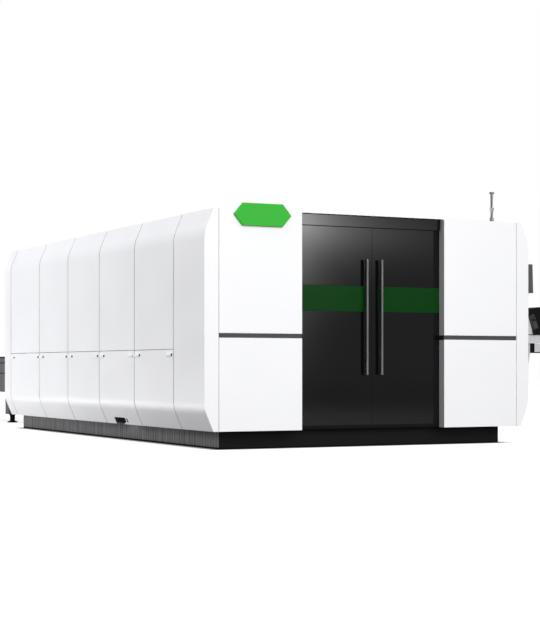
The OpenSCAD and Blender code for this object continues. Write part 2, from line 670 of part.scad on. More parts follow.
// Cutting head: guide plate, optics block, collimator, cone and nozzle
head_y = carriage_y - plate_t - 70;
nozzle_z = work_z + 170;
head_plate = [95, 20, 48.5];
optics_half = 55;
optics_ys = [head_y - 55, head_y + 21];
optics_zs = [nozzle_z + 150, truck_zs[1] + 230];
optic_axis_y = head_y - 15;
collimator = [62, 60];
nozzle_profile = [[0, 0], [8, 0], [14, 22], [14, 34], [30, 70], [44, 76], [44, 151], [0, 151]];
module cutting_head() color(pale) {
    block([-head_plate[0], head_y + head_plate[1], truck_zs[1] + 10],
        [head_plate[0], head_y + head_plate[2], truck_zs[1] + 240]);
    block([-optics_half, optics_ys[0], optics_zs[0]], [optics_half, optics_ys[1], optics_zs[1]]);
    translate([0, optic_axis_y, optics_zs[1] - 1]) cylinder(d = collimator[0], h = collimator[1]);
    translate([0, optic_axis_y, nozzle_z]) rotate_extrude() polygon(nozzle_profile);
}

// Pallets: welded frames that carry rows of saw-tooth slats; level 0 is in the bed, level 1 on the table
pallet_x = [1020, 1110];
pallet_h = 100;
pallet_end = 80;
side_seat_w = 26;
centre_seat = [300, 340];
seat_h = 20;
slat_t = 4;
slat_half = 1015;
tooth_h = 30;
slat_h = work_z - frame_z;
slat_count = floor((pallet_l - 2 * pallet_end - 60) / slat_pitch);
tooth_count = floor(2 * slat_half / tooth_pitch);
function pallet_z(level) = frame_z - level * level_step;
function pallet_y(level) = level * pallet_travel - pallet_l / 2;

module pallet_frame(level) color(grey) translate([0, pallet_y(level), pallet_z(level)]) {
    both_sides() {
        block([-pallet_x[1], 0, 0], [-pallet_x[0], pallet_l, pallet_h]);
        block([-pallet_x[0] - 1, 0, 0], [-pallet_x[0] + side_seat_w, pallet_l, seat_h]);
        block([-centre_seat[1], 0, 0], [-centre_seat[0], pallet_l, seat_h]);
    }
    for (y = [0, pallet_l - pallet_end])
        block([-pallet_x[0], y, 0], [pallet_x[0], y + pallet_end, pallet_h]);
}

slat_outline = concat([[-slat_half, seat_h], [slat_half, seat_h]],
    [for (k = [0 : 2 * tooth_count]) [slat_half - k * tooth_pitch / 2, slat_h - (k % 2 == 0 ? tooth_h : 0)]],
    [[-slat_half, slat_h - tooth_h]]);
module slats(level) color(steel) translate([0, pallet_y(level), pallet_z(level)])
    for (k = [1 : slat_count]) {
        y = pallet_l / 2 + (k - (slat_count + 1) / 2) * slat_pitch;
        along_y(y - slat_t / 2, y + slat_t / 2) polygon(slat_outline);
    }
module upper_pallet_frame() pallet_frame(0);
module upper_slats() slats(0);
module lower_pallet_frame() pallet_frame(1);
module lower_slats() slats(1);

// Exchange table: grooved side beams on legs, with a row of lifting slots and two pallet ledges inside
table_y = [rear_y + 110, rear_y + 4510];
table_leg_mid = front_y + 8430;
table_leg_pitch = 1850;
table_leg_ys = [for (k = [-1 : 1]) table_leg_mid + k * table_leg_pitch];
table_x = [1160, 1250];
table_zs = [440, 700, 714, 925];
table_groove = 12;
table_leg = [1000, 1200];
table_leg_half = 80;
side_slot = [58, 30, 16];
side_slot_z = 856;
side_pitch = 110;
side_marks = [table_y[0] + side_pitch / 2 : side_pitch : table_y[1] - side_pitch / 2];
side_section = [[-table_x[0], table_zs[0]], [-table_x[0], table_zs[3]], [-table_x[1], table_zs[3]],
    [-table_x[1], table_zs[2]], [table_groove - table_x[1], table_zs[2]],
    [table_groove - table_x[1], table_zs[1]], [-table_x[1], table_zs[1]], [-table_x[1], table_zs[0]]];
module table_sides() color(grey) both_sides() {
    difference() {
        along_y(table_y[0], table_y[1]) polygon(side_section);
        for (y = side_marks) block([-table_x[1] - 1, y - side_slot[0] / 2, side_slot_z - side_slot[1] / 2],
            [-table_x[1] + side_slot[2], y + side_slot[0] / 2, side_slot_z + side_slot[1] / 2]);
    }
    ledges(table_y[0], table_y[1]);
    for (y = table_leg_ys) block([-table_leg[1], y - table_leg_half, table_foot_h],
        [-table_leg[0], y + table_leg_half, table_zs[0] + 1]);
}

// Cross beams on the table legs, between the side beams
cross_tube_zs = [table_zs[0] + 1, 511];
cross_tube_half = 50;
module table_cross_beams() color(grey) for (y = table_leg_ys)
    block([-table_x[0], y - cross_tube_half, cross_tube_zs[0]],
        [table_x[0], y + cross_tube_half, cross_tube_zs[1]]);

// Guide strips along the tops of the table sides, each with a row of low upright rollers
guide_x = [table_x[0] + 8, table_x[1] - 2];
guide_t = 5;
guide_d = 56;
guide_h = 16;
module table_guides() color(dark) both_sides() translate([0, 0, table_zs[3]]) {
    block([-guide_x[1], table_y[0], 0], [-guide_x[0], table_y[1], guide_t]);
    for (y = side_marks) translate([guide_d / 2 - guide_x[1], y, guide_t - 1])
        cylinder(d = guide_d, h = guide_h);
}

// Gear motor of the pallet drive, hung under the last cross beam
gear_box = [[-110, -55, 0], [80, 55, 150]];
drive_axis_z = 82;
drive_motor = [140, 240];
drive_cowl = [120, 30];
module table_drive() color(dark) translate([0, table_leg_ys[2], cross_tube_zs[0]]) mirror([0, 0, 1]) {
    block(gear_box[0], gear_box[1]);
    translate([gear_box[1][0] - 1, 0, drive_axis_z]) rotate([0, 90, 0]) {
        cylinder(d = drive_motor[0], h = drive_motor[1]);
        cylinder(d = drive_cowl[0], h = drive_motor[1] + drive_cowl[1]);
    }
}

// Operator console on the right wall, facing away from the machine: wall plate, arm, neck and curved brace
console_y = front_y + 770;
wall_plate = [[0, -290, 560], [12, -50, 1150]];
arm_zs = [1050, 1140];
arm_ys = [-280, -60];
arm_end = 2375;
desk_z = 1147;
desk_plate = [2080, 2420, 200];
desk_half = 300;
desk_top = 1421;
desk_foot_x = 2259;
desk_back = [2192, 1347];
neck = [[2080, desk_z - 1], [desk_foot_x, desk_z - 1], [desk_foot_x, desk_z], desk_back,
    [2080, desk_back[1]]];
brace_r = [366, 380];
brace_ys = [-270, -230];
brace_z = 957;
brace_outline = concat([for (a = [0 : -6 : -90]) brace_r[1] * [cos(a), sin(a)]],
    [for (a = [-90 : 6 : 0]) brace_r[0] * [cos(a), sin(a)]]);
module console_arm() color(pale) translate([0, console_y, 0]) {
    translate([half_w, 0, 0]) block(wall_plate[0], wall_plate[1]);
    block([half_w + 11, arm_ys[0], arm_zs[0]], [arm_end, arm_ys[1], arm_zs[1]]);
    block([desk_plate[0], -desk_plate[2], arm_zs[1] - 1], [desk_plate[1], desk_plate[2], desk_z]);
    along_y(-desk_plate[2], desk_plate[2]) polygon(neck);
    block([half_w + brace_r[0], brace_ys[0], brace_z - 1],
        [half_w + brace_r[1], brace_ys[1], arm_zs[0] + 1]);
    along_y(brace_ys[0], brace_ys[1]) translate([half_w, brace_z]) polygon(brace_outline);
}

// Desk housing with a leaning back, a sloped key panel, button bores and a handset cup on its left cheek
desk_profile = [[desk_foot_x, desk_z], [2600, desk_z], [2600, 1275], [2370, 1447], [2200, desk_top],
    [2080, desk_top], [2080, desk_back[1]], desk_back];
key_edges = [desk_profile[2], desk_profile[3]];
key_mid = (key_edges[0] + key_edges[1]) / 2;
key_tilt = atan2(key_edges[1][1] - key_edges[0][1], key_edges[0][0] - key_edges[1][0]);
stem_r = 11;
stem_clear = 0.05;
button_ring = [24, 7];
estop_y = -220;
start_y = 220;
cup_at = [2290, 1165];
cup_lean = 21;
cup_outer = [[-38, -42, 0], [38, 1, 45]];
cup_inner = [[-32, -38, 4], [32, -2, 46]];
module on_keys(y) translate([key_mid[0], y, key_mid[1]]) rotate([0, key_tilt, 0]) children();
module in_cup() translate([cup_at[0], -desk_half, cup_at[1]]) rotate([0, -cup_lean, 0]) children();
module console_desk() color(dark) translate([0, console_y, 0]) difference() {
    union() {
        along_y(-desk_half, desk_half) polygon(desk_profile);
        for (y = [estop_y, start_y]) on_keys(y) translate([0, 0, -1])
            cylinder(r = button_ring[0], h = button_ring[1]);
        in_cup() block(cup_outer[0], cup_outer[1]);
    }
    for (y = [estop_y, start_y]) on_keys(y) translate([0, 0, -45]) cylinder(r = stem_r + stem_clear, h = 60);
    in_cup() block(cup_inner[0], cup_inner[1]);
}

// Push buttons: a stem in its bore and a wider head
stem_zs = [-30, 14];
module push_button(head_r, head_h) {
    translate([0, 0, stem_zs[0]]) cylinder(r = stem_r, h = stem_zs[1] - stem_zs[0]);
    translate([0, 0, stem_zs[1] - 1]) cylinder(r = head_r, h = head_h);
}
module estop_button() color("firebrick") translate([0, console_y, 0]) on_keys(estop_y) push_button(20, 18);
module start_button() color("seagreen") translate([0, console_y, 0]) on_keys(start_y) push_button(15, 9);

// Handset standing in its cup
handset_size = [60, 205, 34];
handset_r = 12;
module handset() color(grey) translate([0, console_y, 0]) in_cup()
    translate([0, -3, cup_inner[0][2] + handset_size[1] / 2]) rotate([90, 0, 0])
    linear_extrude(handset_size[2]) polygon(rounded_rect(handset_size[0], handset_size[1], handset_r));

// Keyboard drawer below the desk: fixed housing with slide bars, and the tray
tray_x = [2292, 2640];
tray_half = 260;
tray_top = 1044;
tray_wall = 6;
housing_half = 280;
bar_ys = [236, 268];
bar_zs = [946, brace_z - 1];
bar_end = 40;
module keyboard_housing() color(dark) translate([0, console_y, 0]) {
    block([half_w + brace_r[1], -housing_half, bar_zs[0]], [tray_x[0] - 2, housing_half, arm_zs[0]]);
    for (s = [0, 1]) mirror([0, s, 0])
        block([tray_x[0] - 3, bar_ys[0], bar_zs[0]], [tray_x[1] - bar_end, bar_ys[1], bar_zs[1]]);
}
module keyboard_tray() color(pale) translate([0, console_y, 0]) difference() {
    block([tray_x[0], -tray_half, brace_z], [tray_x[1], tray_half, tray_top]);
    block([tray_x[0] + tray_wall, -tray_half + tray_wall, brace_z + tray_wall],
        [tray_x[1] - tray_wall, tray_half - tray_wall, tray_top + 1]);
}

// Monitor on a post, tilting on a cross pin
pivot = [2190, 1740];
pivot_r = 8;
pivot_clear = 0.05;
post_x = [2130, 2170];
post_half = 25;
pivot_head = [18, 14];
pin_half = 60;
module pivot_rod(r, y0, y1) along_y(y0, y1) translate(pivot) circle(r = r);
module monitor_bracket() color(grey) translate([0, console_y, 0]) {
    block([post_x[0], -post_half, desk_top], [post_x[1], post_half, pivot[1] + pivot_head[0]]);
    block([post_x[1] - 1, -post_half, pivot[1] - pivot_head[0]],
        [pivot[0] + pivot_head[1], post_half, pivot[1] + pivot_head[0]]);
    pivot_rod(pivot_r, -pin_half, pin_half);
}

// Monitor housing with a leaning, sunk screen and two ears on the cross pin
monitor_x = [2222, 2277];
monitor_foot_x = 2286;
monitor_z = [1598, 1910];
monitor_half = 260;
screen_rim = 18;
screen_sunk = 3;
ear_ys = [-52, 40];
ear_t = 12;
ear_r = 14;
screen_face = [[monitor_foot_x, monitor_z[0]], [monitor_x[1], monitor_z[1]]];
rim_part = screen_rim / (monitor_z[1] - monitor_z[0]);
screen_ends = [for (t = [rim_part, 1 - rim_part]) screen_face[0] + t * (screen_face[1] - screen_face[0])];
module monitor() color(grey) translate([0, console_y, 0]) {
    difference() {
        along_y(-monitor_half, monitor_half)
            polygon(concat([[monitor_x[0], monitor_z[1]], [monitor_x[0], monitor_z[0]]], screen_face));
        along_y(-monitor_half + screen_rim, monitor_half - screen_rim)
            polygon([screen_ends[0] - [screen_sunk, 0], screen_ends[0] + [screen_rim, 0],
                screen_ends[1] + [screen_rim, 0], screen_ends[1] - [screen_sunk, 0]]);
    }
    for (y = ear_ys) difference() {
        union() {
            pivot_rod(ear_r, y, y + ear_t);
            block([pivot[0], y, pivot[1] - ear_t], [monitor_x[0] + 1, y + ear_t, pivot[1] + ear_t]);
        }
        pivot_rod(pivot_r + pivot_clear, y - 1, y + ear_t + 1);
    }
}

front_casings();
front_panel_left_upper();
front_panel_left_lower();
front_panel_right_upper();
front_panel_right_lower();
front_strips();
door_header();
door_track();
door_threshold();
door_leaf_left();
door_leaf_right();
door_window_left();
door_window_right();
door_handle_left();
door_handle_right();
left_upper_panels();
service_flap_1();
service_flap_2();
service_flap_3();
service_flap_4();
service_flap_5();
flap_hinges();
side_frames();
right_upper_panels();
right_lower_panels();
roof_panels();
roof_beams();
duct_collar();
rear_casings();
rear_panels();
rear_door();
sign_plate();
signal_mast();
skirt();
bed_girders();
bed_cross_beams();
levelling_feet();
slag_bins();
front_portals();
gantry_beam();
gantry_trucks();
carriage();
cutting_head();
upper_pallet_frame();
upper_slats();
lower_pallet_frame();
lower_slats();
table_sides();
table_cross_beams();
table_guides();
table_drive();
console_arm();
console_desk();
keyboard_housing();
keyboard_tray();
monitor_bracket();
monitor();
handset();
estop_button();
start_button();
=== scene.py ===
# %% [markdown]
# # A sheet metal laser cutter, dressed for a product picture
# The machine arrives as plain solids in metres: X runs across it, Y from the doors to the exchange table
# at the back, and Z up from the floor. This lesson gives every surface its finish and adds the small
# pieces that the solids leave out. Nothing is moved: each new piece is made where it belongs.

# %% Load the solids
import json
import math

import bpy
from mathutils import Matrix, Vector

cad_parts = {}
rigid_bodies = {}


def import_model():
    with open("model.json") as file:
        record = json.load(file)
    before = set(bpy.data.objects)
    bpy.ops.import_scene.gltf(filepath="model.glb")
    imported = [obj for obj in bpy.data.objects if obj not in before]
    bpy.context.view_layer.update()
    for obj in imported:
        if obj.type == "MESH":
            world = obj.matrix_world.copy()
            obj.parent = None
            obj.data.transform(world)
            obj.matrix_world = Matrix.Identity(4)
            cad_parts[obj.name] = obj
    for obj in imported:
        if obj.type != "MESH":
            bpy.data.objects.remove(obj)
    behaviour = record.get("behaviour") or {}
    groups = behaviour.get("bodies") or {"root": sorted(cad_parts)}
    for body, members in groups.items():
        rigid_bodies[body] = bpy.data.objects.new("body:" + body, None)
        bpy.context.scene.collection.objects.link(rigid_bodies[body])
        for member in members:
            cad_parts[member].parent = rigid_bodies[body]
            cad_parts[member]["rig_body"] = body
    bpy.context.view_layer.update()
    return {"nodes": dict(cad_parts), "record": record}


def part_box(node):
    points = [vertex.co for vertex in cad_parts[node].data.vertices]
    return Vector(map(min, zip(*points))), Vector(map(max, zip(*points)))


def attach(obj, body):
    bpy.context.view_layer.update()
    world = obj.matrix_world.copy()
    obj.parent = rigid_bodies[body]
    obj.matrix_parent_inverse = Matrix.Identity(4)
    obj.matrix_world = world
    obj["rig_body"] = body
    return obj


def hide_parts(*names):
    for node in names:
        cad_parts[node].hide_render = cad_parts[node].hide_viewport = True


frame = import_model()
nodes = frame["nodes"]
scene = bpy.context.scene
front_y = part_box("front_casings")[0].y
rear_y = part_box("rear_casings")[1].y

# %% [markdown]
# ## Camera
# The picture was taken with a long lens from the front left corner, at the height of the table top. A
# camera could be tilted to frame the machine, but then its upright edges would lean. A level camera keeps
# them upright, so the picture is framed by sliding the lens (its shift) instead.

# %% Camera
PICTURE_H = 640
FOCAL_PX = 1586
HORIZON_PX = 367.8
SENSOR_MM = 36
CAMERA_YAW = math.radians(26.4)
EYE = Vector((-7.95, front_y - 13.67, 0.785))
FAR_CLIP = 200

camera_data = bpy.data.cameras.new("product_camera")
camera_data.sensor_width = SENSOR_MM
camera_data.lens = SENSOR_MM * FOCAL_PX / PICTURE_H
camera_data.shift_y = (HORIZON_PX - PICTURE_H / 2) / PICTURE_H
camera_data.clip_end = FAR_CLIP
camera = bpy.data.objects.new("product_camera", camera_data)
camera.location = EYE
camera.rotation_euler = (math.pi / 2, 0, -CAMERA_YAW)
scene.collection.objects.link(camera)
scene.camera = camera
print("lens", round(camera_data.lens, 1), "mm, shift", round(camera_data.shift_y, 4))

# %% [markdown]
# ## Sky
# The machine stands in a white studio without walls. If that white also lit the machine and showed in its
# gloss, everything would turn flat and pale. So the sky asks what kind of ray is looking: the camera gets
# pure white, plain light gets a weaker, even sky, and mirrors get a weaker one still.

# %% Helpers for node trees
WHITE = (1, 1, 1, 1)


def feed(tree, socket, value):
    """Links an output to a socket, or sets the socket to a plain value."""
    if isinstance(value, bpy.types.NodeSocket):
        tree.links.new(value, socket)
    else:
        socket.default_value = value


def math_node(tree, operation, first, second=0.0):
    """A math node on sockets or numbers, and its result."""
    node = tree.nodes.new("ShaderNodeMath")
    node.operation = operation
    for socket, value in zip(node.inputs, (first, second)):
        feed(tree, socket, value)
    return node.outputs[0]


def map_range(tree, value, from_min=0.0, from_max=1.0, to_min=0.0, to_max=1.0):
    """Maps a value from one range to another, and holds it between the ends."""
    node = tree.nodes.new("ShaderNodeMapRange")
    limits = {"From Min": from_min, "From Max": from_max, "To Min": to_min, "To Max": to_max}
    for label, limit in limits.items():
        feed(tree, node.inputs[label], limit)
    tree.links.new(value, node.inputs["Value"])
    return node.outputs["Result"]


def seen_directly(tree):
    """A mask that is 1 for what the camera sees, also through a pane, and 0 for plain light."""
    path = tree.nodes.new("ShaderNodeLightPath")
    return math_node(tree, "MAXIMUM", path.outputs["Is Camera Ray"], path.outputs["Is Transmission Ray"])


print("helpers for node trees are ready")

# %% Sky
SKY_COLOUR = (0.96, 0.97, 1.0, 1)
SKY_LIGHT = 0.6
SKY_IN_GLOSS = 0.28

scene.view_settings.view_transform = "Standard"
world = bpy.data.worlds.new("white_studio")
scene.world = world
world.use_nodes = True
sky = world.node_tree
sky.nodes.clear()
sky_rays = sky.nodes.new("ShaderNodeLightPath")
sky_light = sky.nodes.new("ShaderNodeBackground")
sky_light.inputs["Color"].default_value = SKY_COLOUR
sky_power = map_range(sky, sky_rays.outputs["Is Glossy Ray"], to_min=SKY_LIGHT, to_max=SKY_IN_GLOSS)
sky.links.new(sky_power, sky_light.inputs["Strength"])
sky_white = sky.nodes.new("ShaderNodeBackground")
sky_white.inputs["Color"].default_value = WHITE
sky_mix = sky.nodes.new("ShaderNodeMixShader")
sky.links.new(seen_directly(sky), sky_mix.inputs[0])
sky.links.new(sky_light.outputs[0], sky_mix.inputs[1])
sky.links.new(sky_white.outputs[0], sky_mix.inputs[2])
sky_out = sky.nodes.new("ShaderNodeOutputWorld")
sky.links.new(sky_mix.outputs[0], sky_out.inputs[0])
print("sky:", SKY_LIGHT, "as light,", SKY_IN_GLOSS, "in gloss")

# %% [markdown]
# ## Floor
# The floor is one large plane that has to be white in the picture, grey in the gloss of the doors, and dark
# towards the front where it throws light back, because the fold above the plinth is darkest there. Three
# floors could share the work, but one material that asks for the kind of ray keeps them in step. Beside the
# plinth the white fades to a narrow dark line, the shadow where a heavy thing meets the ground, and below
# the machine it stays dark.

# %% Helpers for stage pieces
def empty_material(name):
    """A material with an empty node tree."""
    paint = bpy.data.materials.new(name)
    paint.use_nodes = True
    paint.node_tree.nodes.clear()
    return paint, paint.node_tree


def to_surface(tree, *shaders):
    """Sends one shader, or the sum of two, to the surface of a material."""
    out = tree.nodes.new("ShaderNodeOutputMaterial")
    if len(shaders) == 2:
        both = tree.nodes.new("ShaderNodeAddShader")
        for socket, shader in zip(both.inputs, shaders):
            tree.links.new(shader, socket)
        shaders = both.outputs
    tree.links.new(shaders[0], out.inputs[0])


def object_axes(tree):
    """The X, Y and Z of a point in the coordinates of its piece."""
    where = tree.nodes.new("ShaderNodeTexCoord")
    axes = tree.nodes.new("ShaderNodeSeparateXYZ")
    tree.links.new(where.outputs["Object"], axes.inputs[0])
    return axes.outputs


def colour_mix(tree, mask, under, over):
    """A colour that is under where the mask is 0 and over where it is 1."""
    mix = tree.nodes.new("ShaderNodeMix")
    mix.data_type = "RGBA"
    for label, value in (("Factor", mask), ("A", under), ("B", over)):
        feed(tree, mix.inputs[label], value)
    return mix.outputs["Result"]


def stage_plane(name, size, place, turn=(0, 0, 0)):
    """A named plane of a given size."""
    bpy.ops.object.select_all(action="DESELECT")
    bpy.ops.mesh.primitive_plane_add(size=size, location=place, rotation=turn)
    plane = bpy.context.object
    plane.name = name
    return plane


print("helpers for stage pieces are ready")

# %% Floor plane and its dark line
FLOOR_SIZE = 120
FLOOR_DROP = 0.0005
CONTACT_REACH = 0.15


def beyond(tree, place, low, high):
    """How far a coordinate lies outside the range from low to high, and less than 0 inside it."""
    off_middle = math_node(tree, "SUBTRACT", place, (low + high) / 2)
    return math_node(tree, "SUBTRACT", math_node(tree, "ABSOLUTE", off_middle), (high - low) / 2)


floor = stage_plane("studio_floor", FLOOR_SIZE, (0, 0, -FLOOR_DROP))
floor_paint, floor_tree = empty_material("studio_floor")
floor_axes = object_axes(floor_tree)
skirt_low, skirt_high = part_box("skirt")
outside = math_node(
    floor_tree, "MAXIMUM",
    beyond(floor_tree, floor_axes["X"], skirt_low.x, skirt_high.x),
    beyond(floor_tree, floor_axes["Y"], skirt_low.y, skirt_high.y),
)
contact = map_range(floor_tree, outside, from_max=CONTACT_REACH)
print("floor of", FLOOR_SIZE, "m, dark within", CONTACT_REACH, "m of the plinth")

# %% Floor colours
FLOOR_GREY = (0.7, 0.7, 0.71, 1)
FLOOR_SHADOW = (0.02, 0.02, 0.02, 1)
FLOOR_IN_GLOSS = (0.34, 0.34, 0.34, 1)
FLOOR_LIFT = 0.6
BOUNCE_FROM_Y = -2.2
BOUNCE_TO_Y = 4.0
BOUNCE_MOST = 0.95
floor_rays = floor_tree.nodes.new("ShaderNodeLightPath").outputs
floor_seen = colour_mix(floor_tree, contact, FLOOR_SHADOW, FLOOR_GREY)
floor_bounce = map_range(floor_tree, floor_axes["Y"], BOUNCE_FROM_Y, BOUNCE_TO_Y, 0.0, BOUNCE_MOST)
floor_lit = colour_mix(floor_tree, floor_rays["Is Diffuse Ray"], floor_seen, floor_bounce)
floor_diffuse = floor_tree.nodes.new("ShaderNodeBsdfDiffuse")
floor_tree.links.new(
    colour_mix(floor_tree, floor_rays["Is Glossy Ray"], floor_lit, FLOOR_IN_GLOSS),
    floor_diffuse.inputs["Color"],
)
floor_lift = floor_tree.nodes.new("ShaderNodeEmission")
floor_lift.inputs["Color"].default_value = WHITE
lift_outside = math_node(floor_tree, "MULTIPLY", contact, FLOOR_LIFT)
floor_tree.links.new(
    math_node(floor_tree, "MULTIPLY", seen_directly(floor_tree), lift_outside), floor_lift.inputs["Strength"]
)
to_surface(floor_tree, floor_diffuse.outputs[0], floor_lift.outputs[0])
floor.data.materials.append(floor_paint)
print("floor throws back light from", BOUNCE_FROM_Y, "m on, in full from", BOUNCE_TO_Y, "m")

# %% [markdown]
# ## Lamps
# Large soft lamps shape the machine: a key in front, a top light for the chamfers, and a weaker one for the
# long side, which is a shade darker than the front. A small low lamp lightens that side towards the back,
# and a far one keeps the right side and the rear white, for views that the picture doesn't show. Area lamps
# are chosen because their size sets how soft a shadow is. They are hidden from mirrors, so that no lamp
# shows as a square in the doors.

# %% Lamps
def soft_lamp(name, place, aim, size, power):
    """A square area lamp that points from place to aim. Power is in watts."""
    data = bpy.data.lights.new(name, "AREA")
    data.shape = "SQUARE"
    data.size = size
    data.energy = power
    lamp = bpy.data.objects.new(name, data)
    lamp.location = place
    lamp.rotation_euler = (Vector(aim) - Vector(place)).to_track_quat("-Z", "Y").to_euler()
    lamp.visible_glossy = False
    scene.collection.objects.link(lamp)
    return lamp


lamps = [
    soft_lamp("front_key", place=(-1.0, -15.0, 5.0), aim=(-0.3, -2.9, 1.0), size=8.0, power=1550),
    soft_lamp("top_light", place=(-3.2, 5.0, 10.0), aim=(-1.6, 3.0, 2.0), size=6.0, power=270),
    soft_lamp("side_fill", place=(-13.5, -2.8, 6.4), aim=(-1.8, -1.6, 0.6), size=6.0, power=710),
    soft_lamp("low_rear_fill", place=(-9.0, 6.5, 1.0), aim=(-1.8, 3.4, 0.4), size=2.0, power=105),
    soft_lamp("far_fill", place=(10.0, 14.0, 6.0), aim=(1.6, 2.6, 1.0), size=8.0, power=900),
]
print("lamps:", [lamp.name for lamp in lamps])

# %% [markdown]
# ## Cards for the gloss
# A glossy door shows what stands opposite. In the picture the doors are pale in their upper left corner
# and along their top, and nearly black below. A lamp could make that reflection, but it would light the
# white panels as well, so it is done as in a photo studio, with cards that only mirrors see. The glow of
# this card has two parts: one that falls off from the corner, and one that makes a flat band.

# %% Helpers for cards
def mirror_only(piece):
    """Keeps a stage card out of the picture and out of the light: only glossy surfaces see it."""
    piece.visible_camera = False
    piece.visible_diffuse = False
    piece.visible_transmission = False
    piece.visible_shadow = False


def glow_material(name, strength):
    """A material that only glows, its tree and its light."""
    paint, tree = empty_material(name)
    light = tree.nodes.new("ShaderNodeEmission")
    light.inputs["Color"].default_value = WHITE
    feed(tree, light.inputs["Strength"], strength)
    return paint, tree, light


print("helpers for cards are ready")

# %% Card for the doors
CARD_W, CARD_H = 6.0, 4.4
CARD_LEFT, CARD_TOP = 6.2, 4.4
card_middle = (CARD_LEFT + CARD_W / 2, EYE.y, CARD_TOP - CARD_H / 2)
glow_card = stage_plane("door_glow_card", 1, card_middle, (math.pi / 2, 0, 0))
glow_card.scale = (CARD_W, CARD_H, 1)
bpy.ops.object.transform_apply(location=False, rotation=False, scale=True)
mirror_only(glow_card)
print("door card", CARD_W, "by", CARD_H, "m")

# %% Glow of the door card
CORNER_GLOW = 14.25
CORNER_SLOPE = (0.2658, -0.1412, 0.0)
CORNER_FALL = 5.24
BAND_GLOW = 3.97
BAND_PLACE = (0.33, -0.87)
BAND_REACH = (11.5, 2.34)
BAND_FALL = 8.0


def on_card(tree, start, reach):
    """The place on the card, measured from a start near its upper left corner, in units of a reach."""
    where = tree.nodes.new("ShaderNodeTexCoord")
    place = tree.nodes.new("ShaderNodeMapping")
    shift = (CARD_W / 2 - start[0], -CARD_H / 2 - start[1])
    place.inputs["Location"].default_value = (shift[0] / reach[0], shift[1] / reach[1], 0)
    place.inputs["Scale"].default_value = (1 / reach[0], 1 / reach[1], 1)
    tree.links.new(where.outputs["Object"], place.inputs["Vector"])
    return place.outputs["Vector"]


def glow_part(tree, fade, fall, strength):
    """One part of a glow: a fade from 1 to 0, made steeper by a power, times a strength."""
    return math_node(tree, "MULTIPLY", math_node(tree, "POWER", fade, fall), strength)


card_paint, card_tree, card_light = glow_material("door_glow_card", 1.0)
slope = card_tree.nodes.new("ShaderNodeVectorMath")
slope.operation = "DOT_PRODUCT"
slope.inputs[1].default_value = CORNER_SLOPE
card_tree.links.new(on_card(card_tree, (0, 0), (1, 1)), slope.inputs[0])
from_corner = math_node(card_tree, "SUBTRACT", 1.0, slope.outputs["Value"])
corner_fade = math_node(card_tree, "MAXIMUM", from_corner, 0.0)
band = card_tree.nodes.new("ShaderNodeTexGradient")
band.gradient_type = "SPHERICAL"
card_tree.links.new(on_card(card_tree, BAND_PLACE, BAND_REACH), band.inputs["Vector"])
card_power = math_node(
    card_tree, "ADD",
    glow_part(card_tree, corner_fade, CORNER_FALL, CORNER_GLOW),
    glow_part(card_tree, band.outputs["Fac"], BAND_FALL, BAND_GLOW),
)
card_tree.links.new(card_power, card_light.inputs["Strength"])
card_clear = card_tree.nodes.new("ShaderNodeBsdfTransparent")
to_surface(card_tree, card_light.outputs[0], card_clear.outputs[0])
glow_card.data.materials.append(card_paint)
print("corner glow", CORNER_GLOW, "and band", BAND_GLOW)

# %% [markdown]
# Two plain cards follow. The polished door handles are dark on their left half, as if something black stood
# there, so a black flag is set up. The lower fold of the long side carries a band of light that reads as a
# pale floor seen in its gloss, so a strip on the floor glows a little for mirrors.

# %% Flag and fold strip
FLAG_SIZE = 6
FLAG_PLACE = (-6.2, -5.2, 2.5)
FLAG_TURN = math.radians(-46)
FOLD_W, FOLD_L = 3.6, 8.2
FOLD_PLACE = (-4.35, 1.3, 0.003)
FOLD_GLOW = 3.9


def plain_card(card, strength):
    """Gives a card an even glow that only mirrors see."""
    mirror_only(card)
    paint, tree, light = glow_material(card.name, strength)
    to_surface(tree, light.outputs[0])
    card.data.materials.append(paint)


plain_card(stage_plane("handle_flag", FLAG_SIZE, FLAG_PLACE, (math.pi / 2, 0, FLAG_TURN)), 0.0)
fold_card = stage_plane("fold_card", 1, FOLD_PLACE)
fold_card.scale = (FOLD_W, FOLD_L, 1)
plain_card(fold_card, FOLD_GLOW)
print("black flag of", FLAG_SIZE, "m, fold strip", FOLD_W, "by", FOLD_L, "m")

# %% [markdown]
# ## Shared surface effects
# Powder coat is never quite flat: it has an orange peel of about a millimetre and a slow mottle in its
# gloss. Bare steel has drawn lines and dark bloom. Each finish could have its own noise nodes, but a node
# group is built once and placed in every finish with its own scale, so that finishes stay related.

# %% Helpers for node groups
NOISE_LOW, NOISE_HIGH = 0.3, 0.7


def new_group(name, inputs, outputs):
    """An empty shader node group with named float inputs and named float outputs."""
    group = bpy.data.node_groups.new(name, "ShaderNodeTree")
    for label, value in inputs:
        socket = group.interface.new_socket(label, in_out="INPUT", socket_type="NodeSocketFloat")
        socket.default_value = value
    for label in outputs:
        group.interface.new_socket(label, in_out="OUTPUT", socket_type="NodeSocketFloat")
    entry = group.nodes.new("NodeGroupInput")
    leave = group.nodes.new("NodeGroupOutput")
    return group, entry.outputs, leave.inputs


def object_noise(tree, scale, detail, stretch=(1, 1, 1)):
    """Noise on object coordinates, stretched along an axis if asked."""
    where = tree.nodes.new("ShaderNodeTexCoord")
    mapping = tree.nodes.new("ShaderNodeMapping")
    mapping.inputs["Scale"].default_value = stretch
    noise = tree.nodes.new("ShaderNodeTexNoise")
    noise.inputs["Detail"].default_value = detail
    feed(tree, noise.inputs["Scale"], scale)
    tree.links.new(where.outputs["Object"], mapping.inputs["Vector"])
    tree.links.new(mapping.outputs["Vector"], noise.inputs["Vector"])
    return noise.outputs["Fac"]


def spread(tree, noise, low, high):
    """Spreads noise, which stays near its middle, over the whole range from low to high."""
    return map_range(tree, noise, NOISE_LOW, NOISE_HIGH, low, high)


